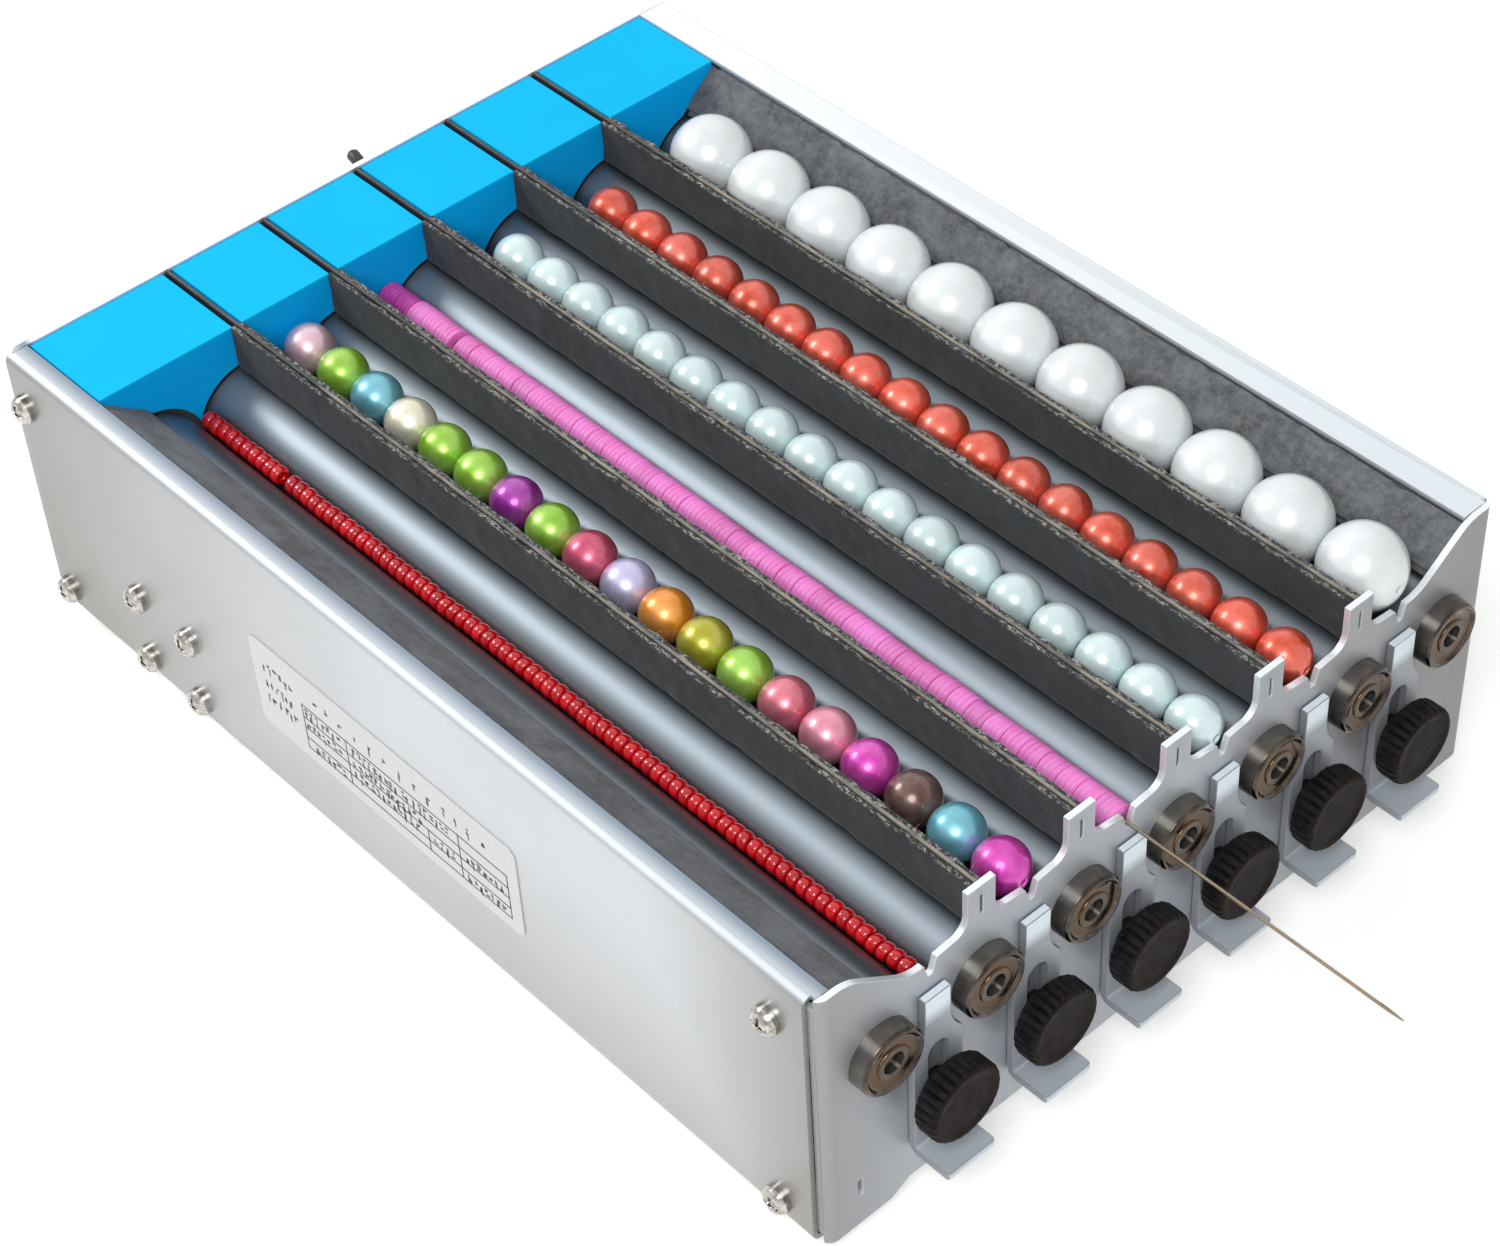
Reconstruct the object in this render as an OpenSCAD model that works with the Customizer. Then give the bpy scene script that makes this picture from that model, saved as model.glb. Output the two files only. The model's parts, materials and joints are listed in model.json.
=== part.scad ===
// Bead spinner: a six-lane tray of turning rollers that lines beads up for threading.
// X runs across the lanes, +Y runs away from the threading end, +Z is up.

/* [Case] */
// Outside depth of the case from the front plate to the rear plate
case_d = 214; // [180:1:280]
// Height of the case above the feet
case_h = 60; // [58:0.5:74]
// Sheet thickness of the side plates
side_t = 1; // [0.8:0.1:1.2]
// Sheet thickness of the front plate, the rear plate and the bearing plate
plate_t = 1.2; // [1:0.1:1.5]
// Sheet thickness of the base plate
base_t = 1; // [0.8:0.1:1.5]
// Outer bend radius of the side plates
bend_r = 2; // [1.8:0.1:3]
// Width of the left side plate's top flange
left_flange_w = 4.5; // [4:0.5:6]
// Width of the right side plate's top flange
right_flange_w = 7.5; // [5:0.5:8]
// Width of the side plates' bottom flanges
bottom_flange_w = 11; // [10:0.5:14]
// Height of the rubber feet
foot_h = 3; // [2.8:0.2:6]
// Diameter of the rubber feet
foot_d = 10; // [8:0.5:12]

/* [Rollers] */
// Distance from one roller axis to the next
lane_pitch = 22; // [18:0.5:27]
// Gap between two neighbouring rollers
roller_gap = 0.8; // [0.6:0.1:1.5]
// Gap between the outer rollers and the side plates
side_gap = 1.6; // [1.2:0.1:3]
// Wall of the roller tubes
roller_wall = 1.2; // [0.8:0.1:2]
// Diameter of the roller shafts
shaft_d = 4; // [3:0.1:5]
// Outside diameter of the shaft bearings
bearing_d = 13; // [11:0.5:13.5]
// Width of the shaft bearings
bearing_w = 5; // [4:0.5:6]
// How far the front bearings stand out of the front plate
bearing_out = 3.5; // [3:0.1:4]
// Diameter of the belt grooves in the roller pulleys
groove_d = 12; // [10:0.5:13]
// Width of the drive belts
belt_w = 1.4; // [1.2:0.1:1.8]
// Thickness of the drive belts
belt_t = 1.2; // [0.8:0.1:1.4]
// Diameter of the motor
motor_d = 24; // [20:0.5:25]
// Length of the motor's round body
motor_l = 31; // [24:1:36]

/* [Lanes] */
// Depth of the plastic end blocks
block_d = 21.8; // [19:0.2:24]
// Wall of the plastic end blocks
block_wall = 2; // [1.5:0.1:2.5]
// Gap left between two end blocks for the divider between them
block_gap = 2.2; // [2:0.1:2.6]
// Thickness of the divider sheets
divider_t = 0.6; // [0.5:0.1:1.2]
// Thickness of the felt on the dividers
felt_t = 1.1; // [0.5:0.1:1.3]
// Thickness of the felt on the sloping guide walls
guide_felt_t = 1; // [0.5:0.1:1.2]
// Half width of the divider tabs on the front plate
tab_half_w = 3; // [2.5:0.1:3.5]
// Drop from the divider tabs to the edge that the threads cross
shelf_drop = 8.9; // [8:0.1:9.5]
// Depth of the needle notches
notch_depth = 2.8; // [2:0.1:3.5]

/* [Gates] */
// Diameter of the thumbscrew knobs
knob_d = 15.4; // [12:0.2:16]
// Thickness of the thumbscrew knobs
knob_t = 5; // [4:0.5:8]
// Thread diameter of the thumbscrews
thumb_d = 4; // [3:0.5:4]
// Thickness of the sliding gates
gate_t = 1.5; // [1:0.1:1.6]
// Width of the sliding gates
gate_w = 10.6; // [9.6:0.2:12]
// How far a gate slides up from where it is set
gate_up = 1.2; // [0.5:0.1:1.4]
// How far a gate slides down from where it is set
gate_down = 8; // [4:0.5:8.5]
// Length of the finger tab on a gate
finger_l = 7.5; // [6:0.5:12]

/* [Beads] */
// Diameter of the seed beads in lane 1
seed_d = 3.6; // [2:0.1:4]
// Number of seed beads in lane 1
seed_n = 80; // [20:10:100]
// Diameter of the pearls in lane 2
mixed_d = 9.88; // [8:0.02:10.5]
// Number of pearls in lane 2
mixed_n = 19; // [5:1:19]
// Diameter of the clay discs in lane 3
disc_d = 6.2; // [5:0.1:8]
// Thickness of the clay discs in lane 3
disc_t = 1.04; // [0.8:0.02:1.1]
// Number of clay discs in lane 3
disc_n = 180; // [20:20:180]
// Diameter of the pearls in lanes 4 and 5
pearl_d = 9.9; // [8:0.1:10.5]
// Number of pearls in lanes 4 and 5
pearl_n = 18; // [5:1:18]
// Diameter of the large pearls in lane 6
large_d = 16.2; // [12:0.1:16.6]
// Number of large pearls in lane 6
large_n = 11; // [5:1:11]
// Diameter of the needle
needle_d = 0.6; // [0.4:0.1:1]
// How far the needle stands out of the front
needle_out = 56.5; // [30:0.5:70]

/* [Hidden] */

$fn = 48;
lanes = 6;
rollers = lanes + 1;

// Clearances
fit = 0.05;
seat = 0.02;
slide_gap = 0.15;
gap = 0.3;
cut = 1;

// Sizes across the lanes
half_lane = lane_pitch / 2;
roller_r = (lane_pitch - roller_gap) / 2;
case_w = lanes * lane_pitch + 2 * (roller_r + side_gap + side_t);
half_in = case_w / 2 - side_t - fit;

// Levels, measured from the surface that the feet stand on
floor_z = foot_h;
top_z = floor_z + case_h;
roller_top_z = top_z - 10.2;
axis_z = roller_top_z - roller_r;
screw_h = axis_z - 15.8;
shelf_z = top_z - shelf_drop;
base_top_z = floor_z + side_t + base_t;

// Places along the depth, measured from the front plate's outer face
front_bend_r = 2.2;
rear_bend_r = 2.4;
side_y0 = front_bend_r + 0.2;
rear_in_y = case_d - plate_t;
block_rear_y = rear_in_y - 0.2;
block_y = block_rear_y - block_d;
tube_y0 = bearing_w - bearing_out + 1;
tube_y1 = block_y + 0.9;
bearing_rear_y = tube_y1 + 0.8;
plate_y = bearing_rear_y + (bearing_w - plate_t) / 2;
pulley_y = bearing_rear_y + bearing_w + 0.7;

// Drive
groove_r = min(groove_d / 2, roller_r - belt_t - 2);
pulley_rim = 0.5;
groove_w = belt_w + 0.5;
pulley_r = groove_r + belt_t + 0.8;
pulley_l = 3 * pulley_rim + 2 * groove_w;
motor_r = min(motor_d / 2, (axis_z - roller_r - base_top_z - 1.6) / 2);
motor_x = -case_w / 2 + side_t + 4 + motor_r;
motor_z = base_top_z + 0.6 + motor_r;
motor_shaft_d = 3;
motor_groove_r = 3.5;
bracket_t = 1.5;
bracket_y1 = plate_y - 6;
bracket_l = 25;

// Lanes
block_half_w = half_lane - block_gap / 2;
block_top_z = top_z - 0.4;
block_arc_r = roller_r + 1.15;
slope_top_z = top_z - 1.2;
slope_foot_z = top_z - 8;
left_foot_x = -3 * lane_pitch + 1.1;
right_foot_x = -3 * lane_pitch + 2.1;
left_slope_x = -case_w / 2 + left_flange_w + 0.6;
right_slope_x = -case_w / 2 + right_flange_w + 0.3;
divider_z0 = roller_top_z + 0.6;
felt_z0 = divider_z0 + 0.1;
slit_z0 = shelf_z + 2.4;
slit_h = 4.4;
lane_w = lane_pitch - divider_t - 2 * felt_t - 1;
disc_hole_r = 1;
needle_z = bead_z(disc_d / 2) + disc_hole_r - needle_d / 2 - 0.06;
notch_z = min(shelf_z - notch_depth, needle_z - needle_d / 2 - 0.05);
row_start = plate_t + 0.2;
row_end = block_y - 0.4;

// Case details
flange_depth = 16;
screw_in = 10.2;
screw_top = case_h - 10.5;
screw_low = 4.6;
m3_r = 1.5;
m3_head_d = 5.6;
m3_head_h = 2.2;
foot_in = 7;
foot_y = [18, case_d - 38];
bracket_screws = [for (y = [bracket_y1 - 5, bracket_y1 - 21]) for (z = [screw_low, 19.8]) [y, z]];
corner_screws = [for (y = [screw_in, case_d - 4.2]) for (z = [screw_low, screw_top]) [y, z]];

// Gates
gate_y = -slide_gap - gate_t;
gate_bottom_z = screw_h - 13.9;
gate_top_z = top_z - 15;
neck_w = lane_pitch - bearing_d - 3.4;
slot_w = thumb_d + 0.4;

// Switch and jack
switch_x = 6.1;
switch_z = top_z - 8.2;
lever_tilt = 24;
lever_l = 8;
lever_d = 2.6;
lever_edge = 0.6;
bushing_l = 3.5;
bushing_d = 5;
pivot_y = case_d + bushing_l - 1.5;
jack_x = 33;
jack_z = floor_z + 16;

// Middle of the depth, needle and switch lever included
rear_end = pivot_y + lever_l * cos(lever_tilt) + (lever_d / 2 - lever_edge) * sin(lever_tilt);
mid_y = (rear_end - needle_out) / 2;

function roller_x(i) = (i - 4) * lane_pitch;
function lane_x(k) = (k - 3.5) * lane_pitch;
// Height of a bead of radius r that lies between two rollers
function bead_z(r) = axis_z + sqrt(pow(roller_r + r + gap, 2) - pow(half_lane, 2));

module in_frame() {
    translate([0, -mid_y, 0])
        children();
}

// Extrudes a profile drawn in the XZ plane from y0 to y1
module along_y(y0, y1) {
    translate([0, y1, 0])
        rotate([90, 0, 0])
            linear_extrude(y1 - y0)
                children();
}

// A round bar along Y
module bar_y(x, z, y0, y1, r) {
    translate([x, y0, z])
        rotate([-90, 0, 0])
            cylinder(h = y1 - y0, r = r);
}

// A round bar along X
module bar_x(y, z, x0, x1, r) {
    translate([x0, y, z])
        rotate([0, 90, 0])
            cylinder(h = x1 - x0, r = r);
}

// Turned piece along Y: the profile holds [radius, y] points
module turned_y(x, z, profile) {
    translate([x, 0, z])
        rotate([-90, 0, 0])
            rotate_extrude()
                polygon(profile);
}

// Solid outline of a rounded web that reaches w to the right
module rounded_web(h, r, w) {
    translate([r, 0])
        square([w - r, h]);
    translate([0, r])
        square([w, h - 2 * r]);
    for (y = [r, h - r])
        translate([r, y])
            circle(r);
}

// Outline of a sheet bent into a channel
module channel_2d(h, t, r, top_w, bottom_w) {
    wide = max(top_w, bottom_w);
    difference() {
        rounded_web(h, r, wide);
        translate([t, t])
            rounded_web(h - 2 * t, r - t, wide);
        translate([top_w, h / 2])
            square([wide, h]);
        translate([bottom_w, -cut])
            square([wide, h / 2 + cut]);
    }
}

module side_plate(flange_w, screws) {
    color("silver")
        difference() {
            union() {
                along_y(side_y0, case_d - 0.6)
                    translate([-case_w / 2, floor_z])
                        channel_2d(case_h, side_t, bend_r, flange_w, bottom_flange_w);
                translate([bend_r - case_w / 2, plate_t + 0.15, top_z - side_t])
                    cube([flange_w - bend_r, side_y0 + 1, side_t]);
            }
            for (s = screws)
                bar_x(s[0], floor_z + s[1], -case_w / 2 - cut, -case_w / 2 + 4, m3_r + 0.1);
            for (y = foot_y)
                translate([-case_w / 2 + foot_in, y, floor_z - cut])
                    cylinder(h = side_t + 2 * cut, r = m3_r + 0.1);
            translate([-case_w / 2 + side_t, rear_in_y - 0.2, floor_z - cut])
                cube([bottom_flange_w + flange_w, plate_t + cut, case_h + 2 * cut]);
        }
}

// The left plate also carries the motor bracket, whose foot shows in a shallow notch
module left_side_plate() {
    in_frame()
        difference() {
            side_plate(left_flange_w, concat(corner_screws, bracket_screws));
            translate([-case_w / 2 - cut, bracket_y1 - 18, floor_z - cut])
                cube([side_t + bend_r + cut, 14, cut + 1.9]);
        }
}

module right_side_plate() {
    in_frame()
        mirror([1, 0, 0])
            side_plate(right_flange_w, corner_screws);
}

// A sheet with two side flanges bent back, seen from above
module tray_2d(depth, r) {
    difference() {
        union() {
            translate([-half_in + r, 0])
                square([2 * (half_in - r), depth]);
            translate([-half_in, r])
                square([2 * half_in, depth - r]);
            for (s = [-1, 1])
                translate([s * (half_in - r), r])
                    circle(r);
        }
        translate([-half_in + r, plate_t])
            square([2 * (half_in - r), depth]);
        translate([-half_in + plate_t, r])
            square([2 * (half_in - plate_t), depth]);
        for (s = [-1, 1])
            translate([s * (half_in - r), r])
                circle(r - plate_t);
    }
}

module tray(depth, r) {
    translate([0, 0, floor_z])
        linear_extrude(case_h)
            tray_2d(depth, r);
}

// Half of the space over a lane that is cut out of the front plate's top edge
module half_window_2d() {
    fillet = 3;
    side = half_lane - tab_half_w;
    rise = 0.4;
    polygon([
        [0, top_z + cut], [0, notch_z], [0.5, notch_z],
        [1.4, shelf_z], [side - fillet, shelf_z + rise], [side, shelf_z + rise + fillet],
        [side, top_z + cut]
    ]);
    translate([side - fillet, shelf_z + rise + fillet])
        circle(fillet);
}

// The outer lanes open out along the sloping guide walls
module outer_window_2d() {
    foot = -half_lane + 6.5;
    head = -half_lane - 5.8;
    lean = atan2(top_z - shelf_z, foot - head);
    r = 8;
    t = min(r * tan(lean / 2), -foot - 1.6);
    polygon([
        [0, top_z + cut], [head, top_z + cut], [head, top_z],
        [foot - t * cos(lean), shelf_z + t * sin(lean)], [foot + t, shelf_z], [-1.4, shelf_z],
        [-0.5, notch_z], [0, notch_z]
    ]);
    translate([foot + t, shelf_z + t / tan(lean / 2)])
        circle(t / tan(lean / 2));
    difference() {
        polygon([
            [head - t, top_z + cut], [head - t, top_z], [head + t * cos(lean), top_z - t * sin(lean)],
            [head + t * cos(lean), top_z + cut]
        ]);
        translate([head - t, top_z - t / tan(lean / 2)])
            circle(t / tan(lean / 2));
    }
}

module windows_2d() {
    for (k = [1 : lanes - 1])
        translate([lane_x(k), 0])
            half_window_2d();
    for (k = [2 : lanes])
        translate([lane_x(k), 0])
            mirror([1, 0])
                half_window_2d();
    translate([lane_x(1), 0])
        outer_window_2d();
    translate([lane_x(lanes), 0])
        mirror([1, 0])
            outer_window_2d();
}

// Middle part of the lower edge, raised between two feet
module low_edge_2d() {
    raise = 2.2;
    half = case_w / 2;
    polygon([
        [-half + 14, floor_z - cut], [-half + 15, floor_z], [-half + 19, floor_z + raise],
        [half - 19, floor_z + raise], [half - 15, floor_z], [half - 14, floor_z - cut]
    ]);
}

// Takes the side flanges of an end plate away from y0 to y1 and z0 to z1
module flange_cut(y0, y1, z0, z1) {
    for (s = [-1, 1])
        translate([s * (case_w / 2 - 4) - 4.5, y0, z0])
            cube([9, y1 - y0, z1 - z0]);
}

module corner_screw_holes(screws) {
    for (s = [-1, 1])
        for (p = screws)
            bar_x(p[0], floor_z + p[1], s * case_w / 2 - 4, s * case_w / 2 + 4, m3_r + fit);
}

module front_plate() {
    in_frame()
        color("silver")
            difference() {
                tray(flange_depth, front_bend_r);
                along_y(-cut, plate_t + cut)
                    windows_2d();
                along_y(-cut, plate_t + cut)
                    low_edge_2d();
                flange_cut(plate_t + 0.1, flange_depth + cut, top_z - 2.2, top_z + cut);
                flange_cut(plate_t + 0.1, flange_depth + cut, floor_z - cut, base_top_z + 0.3);
                flange_cut(front_bend_r + 0.1, flange_depth + cut, floor_z + 14, roller_top_z - 4);
                for (i = [1 : rollers])
                    bar_y(roller_x(i), axis_z, -cut, plate_t + cut, bearing_d / 2 + fit);
                for (k = [1 : lanes])
                    bar_y(lane_x(k), screw_h, -cut, plate_t + cut, thumb_d / 2 + 0.15);
                for (i = [2 : rollers - 1])
                    translate([roller_x(i) - divider_t / 2 - fit, -cut, slit_z0])
                        cube([divider_t + 2 * fit, plate_t + 2 * cut, slit_h]);
                for (s = [-1, 1])
                    translate([s * (case_w / 2 - 8.3) - 0.5, -cut, floor_z + 7.2])
                        cube([1, plate_t + 2 * cut, 4]);
                corner_screw_holes([corner_screws[0], corner_screws[1]]);
            }
}

module rear_plate() {
    in_frame()
        color("silver")
            difference() {
                translate([0, case_d, 0])
                    mirror([0, 1, 0])
                        tray(9, rear_bend_r);
                flange_cut(case_d - 10, rear_in_y - 0.1, top_z - 2.2, top_z + cut);
                flange_cut(case_d - 10, rear_in_y - 0.1, floor_z - cut, base_top_z + 0.3);
                corner_screw_holes([corner_screws[2], corner_screws[3]]);
                bar_y(switch_x, switch_z, rear_in_y - cut, case_d + cut, bushing_d / 2 + fit);
                bar_y(jack_x, jack_z, rear_in_y - cut, case_d + cut, 4 + fit);
            }
}

module base_plate() {
    half = case_w / 2 - bend_r - 0.1;
    in_frame()
        color("silver")
            difference() {
                translate([-half, plate_t + 0.3, floor_z + side_t])
                    cube([2 * half, rear_in_y - plate_t - 0.6, base_t]);
                for (s = [-1, 1])
                    for (y = foot_y)
                        translate([s * (case_w / 2 - foot_in), y, floor_z])
                            cylinder(h = side_t + base_t + cut, r = m3_r + 0.1);
                translate([-half - cut, bracket_y1 - 18.5, floor_z])
                    cube([bracket_t + cut, 15, side_t + base_t + cut]);
            }
}

// Upright plate behind the rollers that holds their rear bearings
module bearing_plate() {
    half = half_in - 0.45;
    plate_top = roller_top_z - 0.4;
    foot_l = 8;
    in_frame()
        color("gainsboro")
            difference() {
                union() {
                    translate([-half, plate_y, base_top_z])
                        cube([2 * half, plate_t, plate_top - base_top_z]);
                    translate([-half, plate_y, base_top_z])
                        cube([2 * half, plate_t + foot_l, plate_t]);
                }
                for (i = [1 : rollers])
                    bar_y(roller_x(i), axis_z, plate_y - cut, plate_y + plate_t + cut, bearing_d / 2 + fit);
                bar_y(motor_x, motor_z, plate_y - cut, plate_y + plate_t + cut, 5);
            }
}

// Shielded ball bearing: outer ring, sunk shield and inner ring as one turned piece
module bearing(i, y) {
    r = bearing_d / 2;
    bore = shaft_d / 2 + fit;
    rim = r - 0.9;
    hub = bore + 1.25;
    sink = 0.5;
    w = bearing_w;
    translate([0, y, 0])
        turned_y(roller_x(i), axis_z, [
            [bore, 0.2], [hub, 0.2], [hub, sink], [rim - 0.3, sink], [rim, 0], [r - 0.4, 0], [r, 0.4],
            [r, w - 0.4], [r - 0.4, w], [rim, w], [rim - 0.3, w - sink], [hub, w - sink],
            [hub, w - 0.2], [bore, w - 0.2]
        ]);
}

module front_bearings() {
    in_frame()
        color("lightgray")
            for (i = [1 : rollers])
                bearing(i, -bearing_out);
}

module rear_bearings() {
    in_frame()
        color("lightgray")
            for (i = [1 : rollers])
                bearing(i, bearing_rear_y);
}

// Tube with a sunk end disc pressed into each end
module roller(i) {
    r = roller_r;
    disc = 6;
    edge = 0.4;
    bore = shaft_d / 2 + fit / 2;
    in_r = r - roller_wall;
    in_frame()
        color("lightslategray")
            turned_y(roller_x(i), axis_z, [
                [bore, tube_y0 + 0.6], [in_r, tube_y0 + 0.6], [in_r, tube_y0], [r - edge, tube_y0],
                [r, tube_y0 + edge], [r, tube_y1 - edge], [r - edge, tube_y1], [in_r, tube_y1],
                [in_r, tube_y1 - 0.6], [bore, tube_y1 - 0.6], [bore, tube_y1 - disc],
                [in_r, tube_y1 - disc], [in_r, tube_y0 + disc], [bore, tube_y0 + disc]
            ]);
}

// Shaft with a two-groove pulley behind the bearing plate
module shaft(i) {
    r = shaft_d / 2;
    y0 = -bearing_out + 1.2;
    y1 = pulley_y;
    g = pulley_rim;
    w = groove_w;
    in_frame()
        color("gray")
            turned_y(roller_x(i), axis_z, [
                [0, y0], [r - 0.4, y0], [r, y0 + 0.4], [r, y1],
                [pulley_r, y1], [pulley_r, y1 + g], [groove_r, y1 + g], [groove_r, y1 + g + w],
                [pulley_r, y1 + g + w], [pulley_r, y1 + 2 * g + w], [groove_r, y1 + 2 * g + w],
                [groove_r, y1 + 2 * g + 2 * w], [pulley_r, y1 + 2 * g + 2 * w],
                [pulley_r, y1 + pulley_l], [r, y1 + pulley_l], [r, y1 + pulley_l + 0.8],
                [0, y1 + pulley_l + 0.8]
            ]);
}

// Filled outline of a band round two circles
module band_2d(r1, r2, span) {
    lean = asin((r1 - r2) / span);
    c1 = 0.985 * r1;
    c2 = 0.985 * r2;
    circle(r1);
    translate([span, 0])
        circle(r2);
    polygon([
        [c1 * sin(lean), c1 * cos(lean)], [span + c2 * sin(lean), c2 * cos(lean)],
        [span + c2 * sin(lean), -c2 * cos(lean)], [c1 * sin(lean), -c1 * cos(lean)]
    ]);
}

module belt(x, z, r1, r2, span, angle, y) {
    ease = 0.3;
    translate([x, y + belt_w, z])
        rotate([90, -angle, 0])
            linear_extrude(belt_w)
                difference() {
                    band_2d(r1 + ease + belt_t, r2 + ease + belt_t, span);
                    band_2d(r1 + ease, r2 + ease, span);
                }
}

// Each belt joins two rollers, in the front and the rear groove by turns
module drive_belts() {
    front_y = pulley_y + pulley_rim + (groove_w - belt_w) / 2;
    rear_y = front_y + groove_w + pulley_rim;
    dx = roller_x(1) - motor_x;
    dz = axis_z - motor_z;
    in_frame()
        color("dimgray") {
            for (i = [1 : rollers - 1])
                belt(roller_x(i), axis_z, groove_r, groove_r, lane_pitch, 0,
                    i % 2 == 1 ? front_y : rear_y);
            belt(motor_x, motor_z, motor_groove_r, groove_r, sqrt(dx * dx + dz * dz),
                atan2(dz, dx), rear_y);
        }
}

// Output shaft of the motor with the pulley that drives roller 1
module motor_pulley() {
    rear_y = pulley_y + 2 * pulley_rim + groove_w;
    r = motor_shaft_d / 2;
    rim = motor_groove_r + belt_t + 0.8;
    w = groove_w;
    y0 = bracket_y1 + 3.2;
    y1 = rear_y - pulley_rim;
    in_frame()
        color("gray")
            turned_y(motor_x, motor_z, [
                [0, y0], [r, y0], [r, y1], [rim, y1], [rim, rear_y], [motor_groove_r, rear_y],
                [motor_groove_r, rear_y + w], [rim, rear_y + w], [rim, rear_y + w + pulley_rim],
                [0, rear_y + w + pulley_rim]
            ]);
}

// Round gearmotor with a stepped nose that goes through its bracket
module motor() {
    r = motor_r;
    y1 = bracket_y1 - bracket_t - seat;
    nose = 4;
    in_frame()
        color("darkgray")
            turned_y(motor_x, motor_z, [
                [0, y1 - motor_l - 2], [3, y1 - motor_l - 2], [3, y1 - motor_l], [r - 1, y1 - motor_l],
                [r, y1 - motor_l + 1], [r, y1 - 0.6], [r - 0.6, y1], [nose, y1],
                [nose, bracket_y1 + 1.5], [2.4, bracket_y1 + 1.5], [2.4, bracket_y1 + 3],
                [0, bracket_y1 + 3]
            ]);
}

// Angle bracket: one leaf on the left side plate, one across the motor's nose
module motor_bracket() {
    x0 = -half_in;
    z0 = base_top_z + 0.1;
    face_w = 2 * motor_r + 5;
    face_h = 2 * motor_r + 1;
    in_frame()
        color("darkkhaki")
            difference() {
                union() {
                    translate([x0, bracket_y1 - bracket_l, z0])
                        cube([bracket_t, bracket_l, face_h]);
                    translate([x0, bracket_y1 - bracket_t, z0])
                        cube([face_w, bracket_t, face_h]);
                    translate([x0, bracket_y1 - 17.8, floor_z + 0.2])
                        cube([bracket_t, 13.6, face_h]);
                }
                bar_y(motor_x, motor_z, bracket_y1 - bracket_t - cut, bracket_y1 + cut, 4 + fit);
                for (s = bracket_screws)
                    bar_x(s[0], floor_z + s[1], x0 - cut, x0 + bracket_t + cut, m3_r + fit);
            }
}

// Sheets that stand over the inner rollers, each with a tenon in the front plate's slit
module dividers() {
    in_frame()
        color("dimgray")
            for (i = [2 : rollers - 1])
                translate([roller_x(i) - divider_t / 2, 0, 0]) {
                    translate([0, plate_t + 0.1, divider_z0])
                        cube([divider_t, rear_in_y - plate_t - 0.2, top_z - divider_z0]);
                    translate([0, 0.3, slit_z0 + fit])
                        cube([divider_t, plate_t, slit_h - 2 * fit]);
                }
}

module divider_felts() {
    off = divider_t / 2 + seat;
    in_frame()
        color([0.16, 0.16, 0.17])
            for (i = [2 : rollers - 1])
                for (x = [-off - felt_t, off])
                    translate([roller_x(i) + x, plate_t + 0.3, felt_z0])
                        cube([felt_t, block_y - plate_t - 0.5, top_z - felt_z0 - 0.1]);
}

// Slope of a guide wall from a at the top to b at its foot, moved away from the lane by v
function run_of(a, b) = [b - a, slope_foot_z - slope_top_z];
function slope_dir(a, b) = run_of(a, b) / norm(run_of(a, b));
function slope_top(a, b, v) = [a + v * slope_dir(a, b)[1], slope_top_z - v * slope_dir(a, b)[0]];
function slope_at(a, b, v, x) =
    slope_top(a, b, v) + ((x - slope_top(a, b, v)[0]) / slope_dir(a, b)[0]) * slope_dir(a, b);

// Strip between the depths v0 and v1 behind the face, with an upright skirt at its foot
module slope_strip_2d(a, b, v0, v1, reach) {
    low = roller_top_z + 0.5;
    up = reach * slope_dir(a, b);
    polygon([
        slope_top(a, b, v0) - up, slope_at(a, b, v0, b - v0), [b - v0, low], [b - v1, low],
        slope_at(a, b, v1, b - v1), slope_top(a, b, v1) - up
    ]);
}

// Sloping sheets from under the side plates' flanges down to the outer rollers
module guide_walls() {
    v = guide_felt_t + seat;
    in_frame()
        color("dimgray") {
            along_y(plate_t + 0.2, rear_in_y - 0.3)
                slope_strip_2d(left_slope_x, left_foot_x, v, v + 0.8, 0.8);
            mirror([1, 0, 0])
                along_y(plate_t + 0.2, rear_in_y - 0.3)
                    slope_strip_2d(right_slope_x, right_foot_x, v, v + 0.8, 0.8);
        }
}

module guide_felts() {
    in_frame()
        color([0.16, 0.16, 0.17]) {
            along_y(plate_t + 0.3, block_y - 0.2)
                slope_strip_2d(left_slope_x, left_foot_x, 0, guide_felt_t, 0);
            mirror([1, 0, 0])
                along_y(plate_t + 0.3, block_y - 0.2)
                    slope_strip_2d(right_slope_x, right_foot_x, 0, guide_felt_t, 0);
        }
}

// Two arcs that clear the rollers and meet in a point
module block_arcs_2d(mid) {
    for (s = [-1, 1])
        translate([mid + s * half_lane, axis_z])
            circle(block_arc_r);
}

// Front face of an outer end block, which follows the slope of the guide wall
module outer_block_2d(a, b) {
    mid = lane_x(1);
    lean = 0.5;
    difference() {
        polygon([
            [a, block_top_z], slope_at(a, b, lean, a), slope_at(a, b, lean, b + lean),
            [b + lean, axis_z], [mid + block_half_w, axis_z], [mid + block_half_w, block_top_z]
        ]);
        block_arcs_2d(mid);
    }
}

module middle_block_2d(mid) {
    difference() {
        translate([mid - block_half_w, axis_z])
            square([2 * block_half_w, block_top_z - axis_z]);
        block_arcs_2d(mid);
    }
}

// Space behind the front wall of a block, open to the rear and below
module block_hollow(mid) {
    low = roller_top_z + 1.2;
    y = block_y + block_wall;
    translate([mid - lane_pitch, y, axis_z - cut])
        cube([2 * lane_pitch, block_d, low - axis_z + cut]);
    translate([mid - block_half_w + block_wall, y, axis_z])
        cube([2 * (block_half_w - block_wall), block_d, block_top_z - block_wall - axis_z]);
}

module outer_block(a, b) {
    difference() {
        along_y(block_y, block_rear_y)
            outer_block_2d(a, b);
        block_hollow(lane_x(1));
    }
}

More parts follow.
